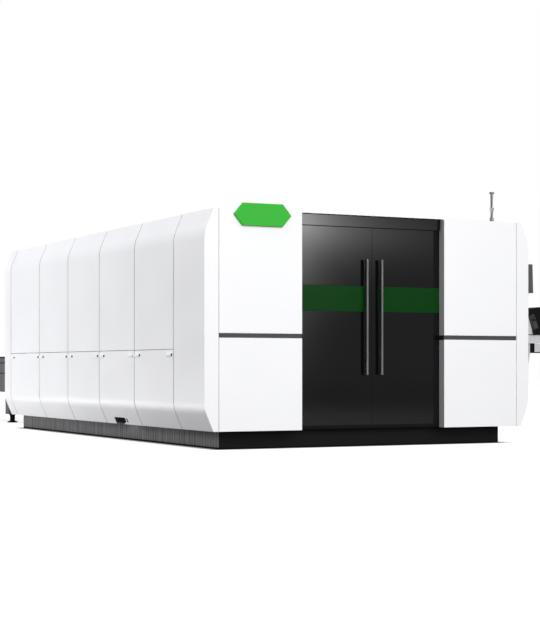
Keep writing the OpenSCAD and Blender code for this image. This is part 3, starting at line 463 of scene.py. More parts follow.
print("noise is spread from", NOISE_LOW, "to", NOISE_HIGH)

# %% Node group for coat grain
PEEL_DETAIL = 2.0
MOTTLE_SCALE, MOTTLE_DETAIL = 2.3, 5.0
coat_grain, coat_in, coat_out = new_group(
    "coat_grain",
    [("Peel Scale", 700.0), ("Gloss Low", 0.3), ("Gloss High", 0.42)],
    ["Peel", "Roughness", "Mottle"],
)
coat_grain.links.new(object_noise(coat_grain, coat_in["Peel Scale"], PEEL_DETAIL), coat_out["Peel"])
mottle = object_noise(coat_grain, MOTTLE_SCALE, MOTTLE_DETAIL)
coat_gloss = spread(coat_grain, mottle, coat_in["Gloss Low"], coat_in["Gloss High"])
coat_grain.links.new(coat_gloss, coat_out["Roughness"])
coat_grain.links.new(mottle, coat_out["Mottle"])
print("group", coat_grain.name, "has", len(coat_grain.nodes), "nodes")

# %% Node group for drawn metal
DRAWN_SCALE, DRAWN_DETAIL = 60.0, 4.0
DRAWN_STRETCH = (0.6, 14.0, 14.0)
BLOOM_SCALE, BLOOM_DETAIL = 5.0, 6.0
drawn_metal, drawn_in, drawn_out = new_group(
    "drawn_metal",
    [("Gloss Low", 0.3), ("Gloss High", 0.5)],
    ["Lines", "Roughness", "Bloom"],
)
drawn_lines = object_noise(drawn_metal, DRAWN_SCALE, DRAWN_DETAIL, DRAWN_STRETCH)
drawn_gloss = spread(drawn_metal, drawn_lines, drawn_in["Gloss Low"], drawn_in["Gloss High"])
drawn_metal.links.new(drawn_lines, drawn_out["Lines"])
drawn_metal.links.new(drawn_gloss, drawn_out["Roughness"])
drawn_metal.links.new(object_noise(drawn_metal, BLOOM_SCALE, BLOOM_DETAIL), drawn_out["Bloom"])
print("group", drawn_metal.name, "has", len(drawn_metal.nodes), "nodes")

# %% [markdown]
# Some finishes change colour at a fold or an edge: the inside of a panel joint is dark, the returns beside
# the doors are grey, and the foot of the plinth has a black band of painted shadow. Faces could be picked by
# hand and given a second material. Two masks on the piece's own coordinates are shorter, and the paint still
# stays in
# place when a flap opens: one is 1 inside a box, and one is 1 on faces that look along one of the three axes.

# %% Node groups for paint zones
FAR = 50.0
SQUARELY = 0.9
box_zone, zone_in, zone_out = new_group(
    "box_zone",
    [(f"{end} {axis}", sign * FAR) for axis in "XYZ" for end, sign in (("Low", -1), ("High", 1))],
    ["Mask"],
)
zone_axes = object_axes(box_zone)
inside = 1.0
for axis in "XYZ":
    above = math_node(box_zone, "GREATER_THAN", zone_axes[axis], zone_in["Low " + axis])
    below = math_node(box_zone, "LESS_THAN", zone_axes[axis], zone_in["High " + axis])
    inside = math_node(box_zone, "MULTIPLY", inside, math_node(box_zone, "MULTIPLY", above, below))
box_zone.links.new(inside, zone_out["Mask"])

facing, facing_in, facing_out = new_group(
    "facing", [("Least", SQUARELY)], ["Along " + axis for axis in "XYZ"]
)
facing_where = facing.nodes.new("ShaderNodeTexCoord")
facing_axes = facing.nodes.new("ShaderNodeSeparateXYZ")
facing.links.new(facing_where.outputs["Normal"], facing_axes.inputs[0])
for axis in "XYZ":
    turned = math_node(facing, "ABSOLUTE", facing_axes.outputs[axis])
    squarely = math_node(facing, "GREATER_THAN", turned, facing_in["Least"])
    facing.links.new(squarely, facing_out["Along " + axis])
print("effects:", [group.name for group in bpy.data.node_groups])

# %% Groups in a material
def place_group(tree, group, values):
    """Places a node group in a material with its own values, and gives its outputs."""
    node = tree.nodes.new("ShaderNodeGroup")
    node.node_tree = group
    for label, value in values.items():
        node.inputs[label].default_value = value
    return node.outputs


def zone(tree, **limits):
    """A box mask in a material. Limits are such as low_x or high_z, in metres."""
    values = {}
    for key, value in limits.items():
        end, axis = key.split("_")
        values[f"{end.capitalize()} {axis.upper()}"] = value
    return place_group(tree, box_zone, values)["Mask"]


def along(tree, axis):
    """A mask of the faces that look along an axis, in a material."""
    return place_group(tree, facing, {"Least": SQUARELY})["Along " + axis]


print("masks are ready")

# %% [markdown]
# ## Finishes
# Nearly everything on the machine is powder coat or bare metal, so two functions make all the finishes. Each
# is a Principled shader with its own colours. The coat group drives gloss and bump, and the slow mottle
# shifts the colour by a few percent, as on real sheet that was sprayed panel by panel.

# %% Parts of a finish
MOTTLE_LOW, MOTTLE_HIGH = 0.35, 0.65


def principled(name):
    """A new material, its node tree and the inputs of its shader."""
    paint = bpy.data.materials.new(name)
    paint.use_nodes = True
    return paint, paint.node_tree, paint.node_tree.nodes["Principled BSDF"].inputs


def blend_colours(tree, mask, low, high):
    """A colour that goes from low to high as the mask crosses its middle."""
    ramp = tree.nodes.new("ShaderNodeValToRGB")
    stops = ramp.color_ramp.elements
    for stop, position, colour in zip(stops, (MOTTLE_LOW, MOTTLE_HIGH), (low, high)):
        stop.position = position
        stop.color = (*colour, 1)
    tree.links.new(mask, ramp.inputs["Fac"])
    return ramp.outputs["Color"]


def add_bump(tree, shader, height, depth):
    """Feeds a height to the shader's normal, with its real depth in metres."""
    bump = tree.nodes.new("ShaderNodeBump")
    bump.inputs["Distance"].default_value = depth
    bump.inputs["Strength"].default_value = 1.0
    tree.links.new(height, bump.inputs["Height"])
    tree.links.new(bump.outputs["Normal"], shader["Normal"])


print("colours blend from", MOTTLE_LOW, "to", MOTTLE_HIGH, "of a mask")

# %% Coat and metal
def coated(name, colour, gloss=(0.3, 0.42), peel=700.0, depth=0.00006, specular=0.5, drift=0.03):
    """Sprayed or powder coated sheet."""
    paint, tree, shader = principled(name)
    values = {"Peel Scale": peel, "Gloss Low": gloss[0], "Gloss High": gloss[1]}
    grain = place_group(tree, coat_grain, values)
    low = [channel * (1 - drift) for channel in colour]
    tree.links.new(blend_colours(tree, grain["Mottle"], low, colour), shader["Base Color"])
    tree.links.new(grain["Roughness"], shader["Roughness"])
    shader["Specular IOR Level"].default_value = specular
    add_bump(tree, shader, grain["Peel"], depth)
    return paint


def bare_metal(name, colour, bloom, gloss=(0.28, 0.45), depth=0.00008):
    """Drawn or machined metal with dark bloom."""
    paint, tree, shader = principled(name)
    lines = place_group(tree, drawn_metal, {"Gloss Low": gloss[0], "Gloss High": gloss[1]})
    tree.links.new(blend_colours(tree, lines["Bloom"], bloom, colour), shader["Base Color"])
    tree.links.new(lines["Roughness"], shader["Roughness"])
    shader["Metallic"].default_value = 1.0
    add_bump(tree, shader, lines["Lines"], depth)
    return paint


print("coat and metal are ready")

# %% [markdown]
# The colours were set by comparing renders with the picture. They are linear: a mid grey is about 0.2. Most
# sheets keep the usual grain. The doors, the window bands and the polished tubes have hardly any, because
# a coarse grain would break up their reflections.

# %% A finish for every slot
FINE = 0.00001
finishes = {
    "white_sheet": coated("white_powder_coat", (0.87, 0.87, 0.885), (0.32, 0.42), drift=0.012),
    "trim_grey": coated("trim_dark_grey", (0.06, 0.06, 0.061)),
    "door_black": coated("door_gloss_black", (0.003, 0.003, 0.0031), (0.05, 0.09), 240.0, FINE),
    "window_green": coated("window_dark_green", (0.004, 0.041, 0.006), (0.1, 0.16), 900.0, FINE, 0.1),
    "handle_dark": bare_metal(
        "handle_brushed_steel", (0.56, 0.56, 0.565), (0.5, 0.5, 0.505), (0.16, 0.24), FINE
    ),
    "sign_green": coated("sign_satin_green", (0.046, 0.435, 0.044), (0.4, 0.5), specular=0.2),
    "plinth_grey": coated("plinth_paint", (0.36, 0.36, 0.365), (0.4, 0.55), specular=0.15),
    "frame_paint": coated("frame_dark_paint", (0.12, 0.12, 0.125), (0.4, 0.55)),
    "pallet_paint": coated("pallet_dark_paint", (0.1, 0.1, 0.105), (0.45, 0.6)),
    "raw_steel": bare_metal("raw_steel", (0.42, 0.42, 0.43), (0.22, 0.21, 0.2)),
    "black_steel": coated("black_oxide", (0.004, 0.004, 0.004), (0.35, 0.5), specular=0.2),
    "gantry_alu": bare_metal("gantry_machined", (0.72, 0.73, 0.74), (0.6, 0.61, 0.62)),
    "axis_black": coated("axis_matt_black", (0.02, 0.02, 0.021), (0.5, 0.6)),
    "head_silver": bare_metal("head_anodised", (0.66, 0.67, 0.69), (0.56, 0.57, 0.6), (0.25, 0.35)),
    "door_grey": coated("lift_door_grey", (0.55, 0.55, 0.56), (0.4, 0.5)),
    "mast_grey": bare_metal("mast_polished_tube", (0.9, 0.9, 0.91), (0.8, 0.8, 0.82), (0.14, 0.22), FINE),
    "console_grey": coated("console_pale_grey", (0.6, 0.6, 0.61), (0.4, 0.5)),
    "console_black": coated("console_matt_black", (0.003, 0.003, 0.003), (0.45, 0.55), specular=0.25),
    "monitor_grey": coated("monitor_dark_grey", (0.085, 0.085, 0.087), (0.45, 0.55)),
    "handset_grey": coated("handset_dark_grey", (0.028, 0.028, 0.028), (0.45, 0.55)),
    "stop_red": coated("stop_red_moulding", (0.5, 0.018, 0.012), (0.2, 0.3)),
    "start_green": coated("start_green_moulding", (0.025, 0.3, 0.05), (0.2, 0.3)),
}
print(len(finishes), "finishes")

# %% [markdown]
# ## Second colours
# Next come the places where a finish changes colour. The sheet edges inside every joint are dark, because
# no light gets there, and so are the open ends of the flap grips. The returns beside the doors are grey,
# and the trim ends there are black. The joints are shaded in the paint and not by a lamp, because the gaps
# are only a few millimetres wide and few rays would find them.

# %% Joints and door returns
SHEET = 0.0025
RETURN_AHEAD, RETURN_DEPTH = 0.01, 0.11
RETURN_TOP = 2.29
RETURN_GREY = (0.35, 0.35, 0.355)
TRIM_END_BLACK = (0.008, 0.008, 0.008)
JOINT_DARK = (0.03, 0.03, 0.031)
JOINT_H = 0.012
CASING_END = 0.1
LEFT_WALL_X = -1.7
jamb_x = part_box("front_panel_right_upper")[0].x
flap_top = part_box("service_flap_1")[1].z


def jambs(tree):
    """A mask of the two returns that line the doorway."""
    reach = {"low_y": front_y - RETURN_AHEAD, "high_y": front_y + RETURN_DEPTH, "high_z": RETURN_TOP}
    left = zone(tree, low_x=-jamb_x - SHEET, high_x=-jamb_x + SHEET, **reach)
    right = zone(tree, low_x=jamb_x - SHEET, high_x=jamb_x + SHEET, **reach)
    return math_node(tree, "MAXIMUM", left, right)


def over_paint(paint, mask, colour):
    """Lays a second colour over a finish, where the mask is 1."""
    tree = paint.node_tree
    base = tree.nodes["Principled BSDF"].inputs["Base Color"]
    under = base.links[0].from_socket
    tree.links.new(colour_mix(tree, mask, under, (*colour, 1)), base)


white = finishes["white_sheet"]
white_tree = white.node_tree
over_paint(white, jambs(white_tree), RETURN_GREY)
side_row = zone(white_tree, low_y=front_y + CASING_END, high_y=rear_y - CASING_END)
joint_ends = math_node(white_tree, "MULTIPLY", along(white_tree, "Y"), side_row)
over_paint(white, joint_ends, JOINT_DARK)
flap_joint = zone(white_tree, high_x=LEFT_WALL_X, low_z=flap_top - JOINT_H, high_z=flap_top + JOINT_H)
joint_edges = math_node(white_tree, "MULTIPLY", along(white_tree, "Z"), flap_joint)
over_paint(white, joint_edges, JOINT_DARK)
trim = finishes["trim_grey"]
over_paint(trim, jambs(trim.node_tree), TRIM_END_BLACK)
print("second colours on", white.name, "and", trim.name)

# %% [markdown]
# The front of the plinth is nearly black. A black band along its foot is painted shadow where it meets the
# floor, and the plinth behind the row of flaps is painted black as shade. Its ribbed sides carry upright
# streaks, and painted shade makes them darker towards the floor. The streaks are noise that is stretched
# until it changes only along the machine, which is quicker than painting them and has no seam.

# %% Plinth
STREAK_SCALE, STREAK_DETAIL = 11.0, 2.0
STREAK_AXIS = (0, 1, 0)
STREAK_MOST = 0.5
STREAK_GREY = (0.05, 0.05, 0.051)
SHADE_MOST = 0.6
SHADE_GREY = (0.04, 0.04, 0.041)
FRONT_SHEET = 0.0065
FRONT_BLACK = (0.009, 0.009, 0.009)
CONTACT_SHADOW_H = 0.016
PAINTED_SHADOW_BLACK = (0.003, 0.003, 0.003)
FLAP_ROW_START, FLAP_ROW_END = 0.75, 0.27
flap_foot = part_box("service_flap_2")[0].z
plinth = finishes["plinth_grey"]
plinth_tree = plinth.node_tree
streak_noise = object_noise(plinth_tree, STREAK_SCALE, STREAK_DETAIL, STREAK_AXIS)
over_paint(plinth, spread(plinth_tree, streak_noise, 0.0, STREAK_MOST), STREAK_GREY)
# Painted shade: the plinth sides are made darker towards the floor.
shade = map_range(plinth_tree, object_axes(plinth_tree)["Z"], skirt_high.z, 0.0, 0.0, SHADE_MOST)
over_paint(plinth, shade, SHADE_GREY)
over_paint(plinth, zone(plinth_tree, high_y=skirt_low.y + FRONT_SHEET), FRONT_BLACK)
# Painted shadow: a black band along the plinth's foot stands in for the contact shadow on the floor.
over_paint(plinth, zone(plinth_tree, high_z=CONTACT_SHADOW_H), PAINTED_SHADOW_BLACK)
# Painted shade: the plinth behind the row of flaps, above their foot, is painted black.
shade_behind_flaps = zone(
    plinth_tree, low_y=front_y + FLAP_ROW_START, high_y=rear_y - FLAP_ROW_END, low_z=flap_foot
)
over_paint(plinth, shade_behind_flaps, PAINTED_SHADOW_BLACK)
print("plinth: lip of", CONTACT_SHADOW_H, "m, shaded from", round(skirt_high.z, 3), "m down")

# %% [markdown]
# The side frames of the exchange table have a row of pockets that look black from outside, as they lie in
# shade.
# A zone that starts just behind the outer face of each frame paints only their inside black: painted shade.

# %% Pockets of the table
GROOVE = 0.004
POCKET_DEPTH = 0.02
POCKET_FOOT = 0.69
POCKET_BLACK = (0.004, 0.004, 0.004)
table_low, table_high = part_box("table_sides")
frame_coat = finishes["frame_paint"]
pocket_row = {"low_y": rear_y, "low_z": POCKET_FOOT}
left_x = {"low_x": table_low.x + GROOVE, "high_x": table_low.x + POCKET_DEPTH}
right_x = {"low_x": table_high.x - POCKET_DEPTH, "high_x": table_high.x - GROOVE}
pockets = math_node(
    frame_coat.node_tree, "MAXIMUM",
    zone(frame_coat.node_tree, **left_x, **pocket_row),
    zone(frame_coat.node_tree, **right_x, **pocket_row),
)
# Painted shade: the inside of each pocket is painted black.
over_paint(frame_coat, pockets, POCKET_BLACK)
print("pockets on", frame_coat.name)

# %% [markdown]
# ## Handing the finishes out
# The record names a material slot for every solid, so one loop dresses them all. Naming a finish for each
# solid by hand would take longer and could differ from the record.

# %% Hand the finishes out
slot_of = {row["node"]: row["material_slot"] for row in frame["record"]["subparts"]}
for name, node in nodes.items():
    node.data.materials.clear()
    node.data.materials.append(finishes[slot_of[name]])
print(len(finishes), "finishes on", len(nodes), "solids")

# %% [markdown]
# ## Softened edges
# Folded sheet has a bend radius of a few millimetres and a catch of light along every edge. The solids are
# sharp, so each visible one gets a copy whose corners are merged, whose flat triangles are joined into
# whole faces, and whose edges are then bevelled. A bevel node in the paint would cost less, but it doesn't
# change the outline. Normals weighted by area keep the large faces flat, so that gloss doesn't ripple. The
# copy rides on the same body and stands for the solid.

# %% Helpers for bevelled copies
BEND_ANGLE = math.radians(32)
LARGE_FACE = 0.004


def only_select(piece):
    """Selects one piece and makes it active."""
    bpy.ops.object.select_all(action="DESELECT")
    piece.select_set(True)
    bpy.context.view_layer.objects.active = piece


def edit_all(piece):
    """Opens a piece for editing with everything selected."""
    only_select(piece)
    bpy.ops.object.mode_set(mode="EDIT")
    bpy.ops.mesh.select_all(action="SELECT")


def flatten_large_faces(mesh):
    """Gives the corners of every large flat face that face's own normal."""
    normals = [corner.vector.copy() for corner in mesh.corner_normals]
    for face in mesh.polygons:
        if face.area > LARGE_FACE:
            for corner in face.loop_indices:
                normals[corner] = face.normal.copy()
    mesh.normals_split_custom_set(normals)


print("edges over", round(math.degrees(BEND_ANGLE)), "degrees are rounded")

# %% [markdown]
# The two push buttons need more care: a large bevel would also fill the corner under their heads and touch
# the desk when they are pressed. So their edges get a small one, and the rim of the cap is rounded by itself.

# %% Rounded caps
BUTTON_AXIS = Vector((0.6, 0, 0.8))
CAPS = {"estop_button": 0.006, "start_button": 0.002}
CAP_STEPS = 4


def round_cap(piece, axis, radius):
    """Rounds the rim of the flat face that lies furthest along an axis, as on a push button."""
    bpy.ops.mesh.select_mode(type="FACE")
    bpy.ops.mesh.select_all(action="DESELECT")
    bpy.ops.object.mode_set(mode="OBJECT")
    cap = max(piece.data.polygons, key=lambda face: face.center @ axis)
    cap.select = True
    bpy.ops.object.mode_set(mode="EDIT")
    bpy.ops.mesh.region_to_loop()
    bpy.ops.mesh.bevel(offset=radius, segments=CAP_STEPS, affect="EDGES")
    bpy.ops.mesh.select_mode(type="VERT")


print("rounded caps:", list(CAPS))

# %% Bevelled copy of a solid
MERGE = 0.00002
FLAT_ANGLE = math.radians(0.4)
EDGE_STEPS = 2
FLAT_WEIGHT = 100


def softened(name, radius):
    """A copy of a solid with its edges rounded, standing for it on the same body."""
    source = nodes[name]
    piece = bpy.data.objects.new("soft_" + name, source.data.copy())
    scene.collection.objects.link(piece)
    edit_all(piece)
    bpy.ops.mesh.remove_doubles(threshold=MERGE)
    bpy.ops.mesh.dissolve_limited(angle_limit=FLAT_ANGLE)
    if name in CAPS:
        round_cap(piece, BUTTON_AXIS, CAPS[name])
    bpy.ops.object.mode_set(mode="OBJECT")
    bevel = piece.modifiers.new("edge_radius", "BEVEL")
    bevel.width = radius
    bevel.segments = EDGE_STEPS
    bevel.limit_method = "ANGLE"
    bevel.angle_limit = BEND_ANGLE
    bevel.use_clamp_overlap = True
    bpy.ops.object.modifier_apply(modifier=bevel.name)
    bpy.ops.object.shade_smooth_by_angle(angle=BEND_ANGLE)
    flat = piece.modifiers.new("flat_faces", "WEIGHTED_NORMAL")
    flat.weight = FLAT_WEIGHT
    flat.keep_sharp = True
    bpy.ops.object.modifier_apply(modifier=flat.name)
    flatten_large_faces(piece.data)
    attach(piece, source["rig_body"])
    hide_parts(name)
    return piece


print("corners closer than", MERGE, "m are merged")

# %% [markdown]
# Each kind of piece has its own radius: small on folded sheet and glass, larger on castings and mouldings
# such as the monitor and the handset.

# %% Bevelled copies
EDGE_RADII = {
    "front_casings": 0.0028,
    "front_panel_left_upper": 0.002,
    "front_panel_left_lower": 0.002,
    "front_panel_right_upper": 0.002,
    "front_panel_right_lower": 0.002,
    "left_upper_panels": 0.0014,
    "right_upper_panels": 0.0014,
    "right_lower_panels": 0.0014,
    "rear_casings": 0.002,
    "rear_panels": 0.0014,
    **{f"service_flap_{number}": 0.0014 for number in range(1, 6)},
    "sign_plate": 0.003,
    "door_header": 0.002,
    "door_leaf_left": 0.0015,
    "door_leaf_right": 0.0015,
    "console_desk": 0.004,
    "console_arm": 0.002,
    "keyboard_housing": 0.003,
    "keyboard_tray": 0.002,
    "monitor": 0.006,
    "monitor_bracket": 0.002,
    "handset": 0.005,
    "table_sides": 0.004,
    "upper_pallet_frame": 0.003,
    "lower_pallet_frame": 0.003,
    "rear_door": 0.003,
    "gantry_beam": 0.003,
    "gantry_trucks": 0.004,
    "carriage": 0.003,
    "cutting_head": 0.002,
    "roof_panels": 0.0014,
    "front_strips": 0.001,
    "door_threshold": 0.002,
    "door_window_left": 0.0008,
    "door_window_right": 0.0008,
    "door_handle_left": 0.0015,
    "door_handle_right": 0.0015,
    "duct_collar": 0.001,
    "signal_mast": 0.0012,
    "levelling_feet": 0.003,
    "table_cross_beams": 0.004,
    "table_guides": 0.002,
    "table_drive": 0.003,
    "slag_bins": 0.002,
    "estop_button": 0.0006,
    "start_button": 0.0006,
}
soft = [softened(name, radius) for name, radius in EDGE_RADII.items()]
print(len(soft), "softened pieces,", sum(len(piece.data.polygons) for piece in soft), "faces")

# %% [markdown]
# ## Bolts
# The fume spigot and the wall plate of the console are bolted on. One hexagon head is modelled: a six
# sided prism with chamfered edges, on a round washer face. It could be an instance, but each bolt has to end
# up as a mesh of its own, so copies are set out and joined into one piece for each place.

# %% Bolt head
HEAD_CHAMFER = 0.12
HEAD_RISE = 0.12
WASHER_R = 0.72
WASHER_SIDES = 24
WASHER_T = 0.24
WASHER_CHAMFER = 0.05


def bolt_head(across, height):
    """A hexagon head that stands on the floor plane at the origin."""
    bpy.ops.object.select_all(action="DESELECT")
    bpy.ops.mesh.primitive_cylinder_add(vertices=6, radius=across / math.sqrt(3), depth=height)
    head = bpy.context.object
    edit_all(head)
    bpy.ops.mesh.bevel(offset=HEAD_CHAMFER * height, segments=2, affect="EDGES")
    bpy.ops.transform.translate(value=(0, 0, (0.5 + HEAD_RISE) * height))
    bpy.ops.object.mode_set(mode="OBJECT")
    bpy.ops.object.select_all(action="DESELECT")
    bpy.ops.mesh.primitive_cylinder_add(
        vertices=WASHER_SIDES, radius=WASHER_R * across, depth=WASHER_T * height
    )
    washer = bpy.context.object
    edit_all(washer)
    bpy.ops.mesh.bevel(offset=WASHER_CHAMFER * height, segments=1, affect="EDGES")
    bpy.ops.transform.translate(value=(0, 0, WASHER_T / 2 * height))
    bpy.ops.object.mode_set(mode="OBJECT")
    head.select_set(True)
    bpy.context.view_layer.objects.active = head
    bpy.ops.object.join()
    return head


print("washer face is", WASHER_R, "times the width of the head")

# %% Copies and finished pieces
def set_out(first, places, turn=(0, 0, 0)):
    """Copies a piece to each place with its own mesh, joins the copies and drops the pattern."""
    copies = []
    for place in places:
        copy = bpy.data.objects.new("copy", first.data.copy())
        copy.location = place
        copy.rotation_euler = turn
        scene.collection.objects.link(copy)
        copies.append(copy)
    bpy.data.objects.remove(first)
    bpy.ops.object.select_all(action="DESELECT")
    for copy in copies:
        copy.select_set(True)
    bpy.context.view_layer.objects.active = copies[0]
    bpy.ops.object.join()
    return copies[0]


def settle(piece, name, body, finish):
    """Names a finished piece, sets its transform to zero and puts it on its body."""
    only_select(piece)
    bpy.ops.object.transform_apply(location=True, rotation=True, scale=True)
    bpy.ops.object.shade_smooth_by_angle(angle=BEND_ANGLE)
    piece.name = name
    piece.data.materials.clear()
    piece.data.materials.append(finish)
    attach(piece, body)


# %% Bolts of the spigot
FLANGE_T = 0.004
FLANGE_BOLTS = 8
FLANGE_RIM = 0.0165
FLANGE_HEAD = (0.013, 0.008)
bolt_steel = bare_metal("bolt_zinc", (0.55, 0.56, 0.57), (0.42, 0.43, 0.44), (0.25, 0.4))
machine = nodes["front_casings"]["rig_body"]
spigot_low, spigot_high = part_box("duct_collar")
spigot_mid = (spigot_low + spigot_high) / 2
bolt_ring = (spigot_high.x - spigot_low.x) / 2 - FLANGE_RIM
flange_turns = [2 * math.pi * (number + 0.5) / FLANGE_BOLTS for number in range(FLANGE_BOLTS)]
flange_places = [
    (
        spigot_mid.x + bolt_ring * math.cos(turn),
        spigot_mid.y + bolt_ring * math.sin(turn),
        spigot_low.z + FLANGE_T,
    )
    for turn in flange_turns
]
flange_bolts = set_out(bolt_head(*FLANGE_HEAD), flange_places)
settle(flange_bolts, "spigot_bolts", machine, bolt_steel)
print(len(flange_places), "bolts on the spigot")

# %% Bolts of the wall plate
PLATE_T = 0.012
PLATE_INSETS = (0.025, 0.215)
PLATE_ROWS = (0.65, 0.83, 1.01)
PLATE_HEAD = (0.019, 0.011)
arm_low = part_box("console_arm")[0]
plate_places = [(arm_low.x + PLATE_T, arm_low.y + inset, z) for inset in PLATE_INSETS for z in PLATE_ROWS]
plate_bolts = set_out(bolt_head(*PLATE_HEAD), plate_places, (0, math.pi / 2, 0))
settle(plate_bolts, "wall_plate_bolts", machine, bolt_steel)
print(len(plate_places), "bolts on the wall plate")

# %% [markdown]
# ## Threads of the table feet
# The feet of the exchange table stand on threaded spindles. A thread could be a bump, but its edge shows
# against the light, so a small triangle is swept round each spindle as a helix.

# %% Where the feet are
def loose_boxes(name):
    """The low and high corners of each separate solid in a node."""
    spare = bpy.data.objects.new("spare", nodes[name].data.copy())
    scene.collection.objects.link(spare)
    edit_all(spare)
    bpy.ops.mesh.remove_doubles(threshold=MERGE)
    bpy.ops.mesh.separate(type="LOOSE")
    bpy.ops.object.mode_set(mode="OBJECT")
    found = []
    for part in list(bpy.context.selected_objects):
        places = [vertex.co.copy() for vertex in part.data.vertices]
        found.append([Vector([pick(p[i] for p in places) for i in range(3)]) for pick in (min, max)])
        bpy.data.objects.remove(part)
    return found


table_feet = [(low, high) for low, high in loose_boxes("levelling_feet") if low.y > rear_y]
print(len(table_feet), "feet under the table")

# %% Threads
FOOT_H = 0.12
SPINDLE_R = 0.035
NUT_T = 0.022
PAD_T = 0.026
PITCH = 0.006
THREAD_R = 0.0026
THREAD_STEPS = 20
turns = int((FOOT_H - NUT_T - PAD_T - PITCH) / PITCH)
bpy.ops.object.select_all(action="DESELECT")
bpy.ops.mesh.primitive_circle_add(vertices=3, radius=THREAD_R, rotation=(math.pi / 2, 0, 0))
thread = bpy.context.object
edit_all(thread)
bpy.ops.transform.translate(value=(SPINDLE_R, 0, 0))
bpy.ops.object.mode_set(mode="OBJECT")
bpy.ops.object.transform_apply(location=True, rotation=True, scale=True)
sweep = thread.modifiers.new("helix", "SCREW")
sweep.axis = "Z"
sweep.screw_offset = PITCH
sweep.iterations = turns
sweep.steps = THREAD_STEPS
sweep.render_steps = THREAD_STEPS
bpy.ops.object.modifier_apply(modifier=sweep.name)
foot_places = [((low.x + high.x) / 2, (low.y + high.y) / 2, PAD_T + PITCH / 2) for low, high in table_feet]
settle(set_out(thread, foot_places), "foot_threads", machine, finishes["black_steel"])
print(turns, "turns on each of", len(foot_places), "table feet")

# %% [markdown]
# ## Screen
# The monitor has a dark pane in its sunk face. It could be a painted rectangle, but a real pane has an edge
# and its own gloss. So a plane gets trimmed corners, is pulled out to a thin plate, and leans with the
# monitor.

# %% Screen pane
SCREEN_RIM = 0.018
SCREEN_SUNK = 0.003
SCREEN_SETBACK, SCREEN_RISE = 0.009, 0.312
SCREEN_LEAN = math.atan2(SCREEN_SETBACK, SCREEN_RISE)
PANE_T = 0.0015
PANE_PLAY = 0.004
PANE_CORNER = 0.005
PLATE_STEPS = 4
pane_paint = coated("screen_pane", (0.004, 0.005, 0.007), (0.06, 0.1), 200.0, FINE / 2)


def plate(width, height, thick, corner):
    """A thin plate with trimmed corners in the YZ plane that faces +X."""
    bpy.ops.object.select_all(action="DESELECT")
    bpy.ops.mesh.primitive_plane_add(size=1, rotation=(0, math.pi / 2, 0))
    piece = bpy.context.object
    piece.scale = (height, width, 1)
    bpy.ops.object.transform_apply(location=True, rotation=True, scale=True)
    edit_all(piece)
    bpy.ops.mesh.bevel(offset=corner, segments=PLATE_STEPS, affect="VERTICES")
    bpy.ops.mesh.select_all(action="SELECT")
    bpy.ops.mesh.extrude_region_move(TRANSFORM_OT_translate={"value": (-thick, 0, 0)})
    bpy.ops.mesh.select_all(action="SELECT")
    bpy.ops.mesh.normals_make_consistent(inside=False)
    bpy.ops.object.mode_set(mode="OBJECT")
    return piece


screen_low, screen_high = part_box("monitor")
screen_mid = (screen_low + screen_high) / 2
pane_margin = 2 * SCREEN_RIM + PANE_PLAY
pane_w = screen_high.y - screen_low.y - pane_margin
pane_h = screen_high.z - screen_low.z - pane_margin
pane = plate(pane_w, pane_h, PANE_T, PANE_CORNER)
pane.rotation_euler = (0, -SCREEN_LEAN, 0)
pane.location = (screen_high.x - SCREEN_SETBACK / 2 - SCREEN_SUNK + PANE_T, screen_mid.y, screen_mid.z)
settle(pane, "screen_pane", nodes["monitor"]["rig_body"], pane_paint)
print("pane", round(pane_w, 3), "by", round(pane_h, 3), "m")

# %% [markdown]
# ## Keys and display of the handset
# The handset has a small display over rows of rubber keys. One key is a cube with rounded edges. Its copies
# follow the lean of the handset and are joined, because they never move. The keys carry no marks.

# %% Keys
HANDSET_LEAN = math.radians(21)
KEY_SIZE = (0.0115, 0.003, 0.0085)
KEY_ROUND = 0.0012
KEY_PITCH = (0.0155, 0.0135)
KEY_ROWS = 5
KEY_COLUMNS = (-1, 0, 1)
KEY_TOP = 0.008
key_paint = coated("key_rubber", (0.09, 0.09, 0.092), (0.5, 0.6))
handset_low, handset_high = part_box("handset")
handset_mid = (handset_low + handset_high) / 2
handset_up = Vector((-math.sin(HANDSET_LEAN), 0, math.cos(HANDSET_LEAN)))
handset_side = Vector((math.cos(HANDSET_LEAN), 0, math.sin(HANDSET_LEAN)))
handset_face = Vector((handset_mid.x, handset_low.y, handset_mid.z))
bpy.ops.object.select_all(action="DESELECT")
bpy.ops.mesh.primitive_cube_add(size=1)
key = bpy.context.object
key.scale = KEY_SIZE
bpy.ops.object.transform_apply(location=True, rotation=True, scale=True)
edit_all(key)
bpy.ops.mesh.bevel(offset=KEY_ROUND, segments=2, affect="EDGES")
bpy.ops.object.mode_set(mode="OBJECT")
key_places = [
    handset_face + KEY_PITCH[0] * column * handset_side + (KEY_TOP - KEY_PITCH[1] * row) * handset_up
    for row in range(KEY_ROWS) for column in KEY_COLUMNS
]
keys = set_out(key, key_places, (0, -HANDSET_LEAN, 0))
settle(keys, "handset_keys", nodes["handset"]["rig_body"], key_paint)
print(len(key_places), "keys")

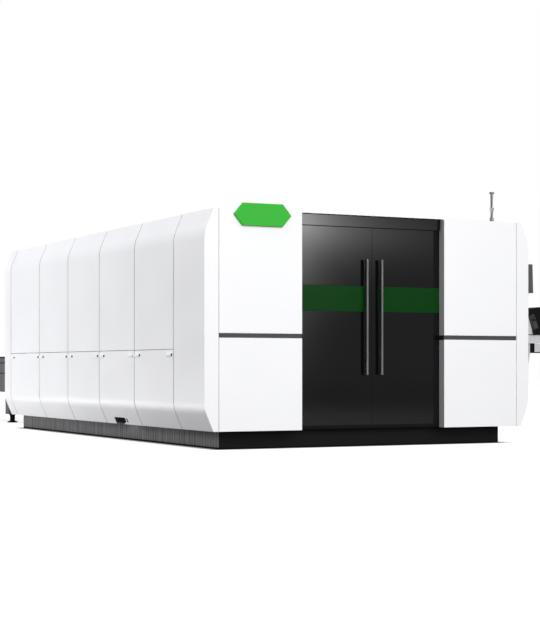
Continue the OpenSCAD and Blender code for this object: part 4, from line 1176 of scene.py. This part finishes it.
# %% Display
DISPLAY_W, DISPLAY_H = 0.044, 0.034
DISPLAY_T = 0.001
DISPLAY_CORNER = 0.003
DISPLAY_UP = 0.05
DISPLAY_PROUD = 0.0008
display = plate(DISPLAY_W, DISPLAY_H, DISPLAY_T, DISPLAY_CORNER)
display.rotation_euler = (0, -HANDSET_LEAN, -math.pi / 2)
display.location = handset_face + DISPLAY_UP * handset_up + Vector((0, -DISPLAY_PROUD, 0))
settle(display, "handset_display", nodes["handset"]["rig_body"], pane_paint)
print("display", DISPLAY_W, "by", DISPLAY_H, "m")

# %% [markdown]
# ## Cheeks of the console neck
# Below the leaning back of the desk, a pale folded cheek closes the corner on each side. A sheared box would
# do, but shear needs a window. So each cheek is a block whose edges are rounded and whose upper half is then
# pushed over, so that it leans with the desk.

# %% Neck cheeks
NECK_FOOT_X = 2.2585
NECK_LEAN = 0.067
NECK_W = 0.09
NECK_FOOT_Z, NECK_TOP_Z = 1.1475, 1.3465
DESK_HALF = 0.3
NECK_PLATE_HALF = 0.2
CHEEK_GAP = 0.003
CHEEK_BEND = 0.0015
tray_low, tray_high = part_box("keyboard_tray")
console_y = (tray_low.y + tray_high.y) / 2
neck_mid_z = (NECK_FOOT_Z + NECK_TOP_Z) / 2
for side, label in ((-1, "front"), (1, "rear")):
    bpy.ops.object.select_all(action="DESELECT")
    bpy.ops.mesh.primitive_cube_add(size=1)
    cheek = bpy.context.object
    cheek.scale = (NECK_W, DESK_HALF - NECK_PLATE_HALF - CHEEK_GAP, NECK_TOP_Z - NECK_FOOT_Z)
    cheek_y = console_y + side * (DESK_HALF + NECK_PLATE_HALF) / 2
    cheek.location = (NECK_FOOT_X - NECK_W / 2, cheek_y, neck_mid_z)
    bpy.ops.object.transform_apply(location=True, rotation=True, scale=True)
    edit_all(cheek)
    bpy.ops.mesh.bevel(offset=CHEEK_BEND, segments=2, affect="EDGES")
    bpy.ops.mesh.select_all(action="DESELECT")
    bpy.ops.object.mode_set(mode="OBJECT")
    for corner in cheek.data.vertices:
        corner.select = corner.co.z > neck_mid_z
    bpy.ops.object.mode_set(mode="EDIT")
    bpy.ops.transform.translate(value=(-NECK_LEAN, 0, 0))
    bpy.ops.object.mode_set(mode="OBJECT")
    settle(cheek, f"neck_cheek_{label}", machine, finishes["console_grey"])
print("neck cheeks at", round(console_y, 3))
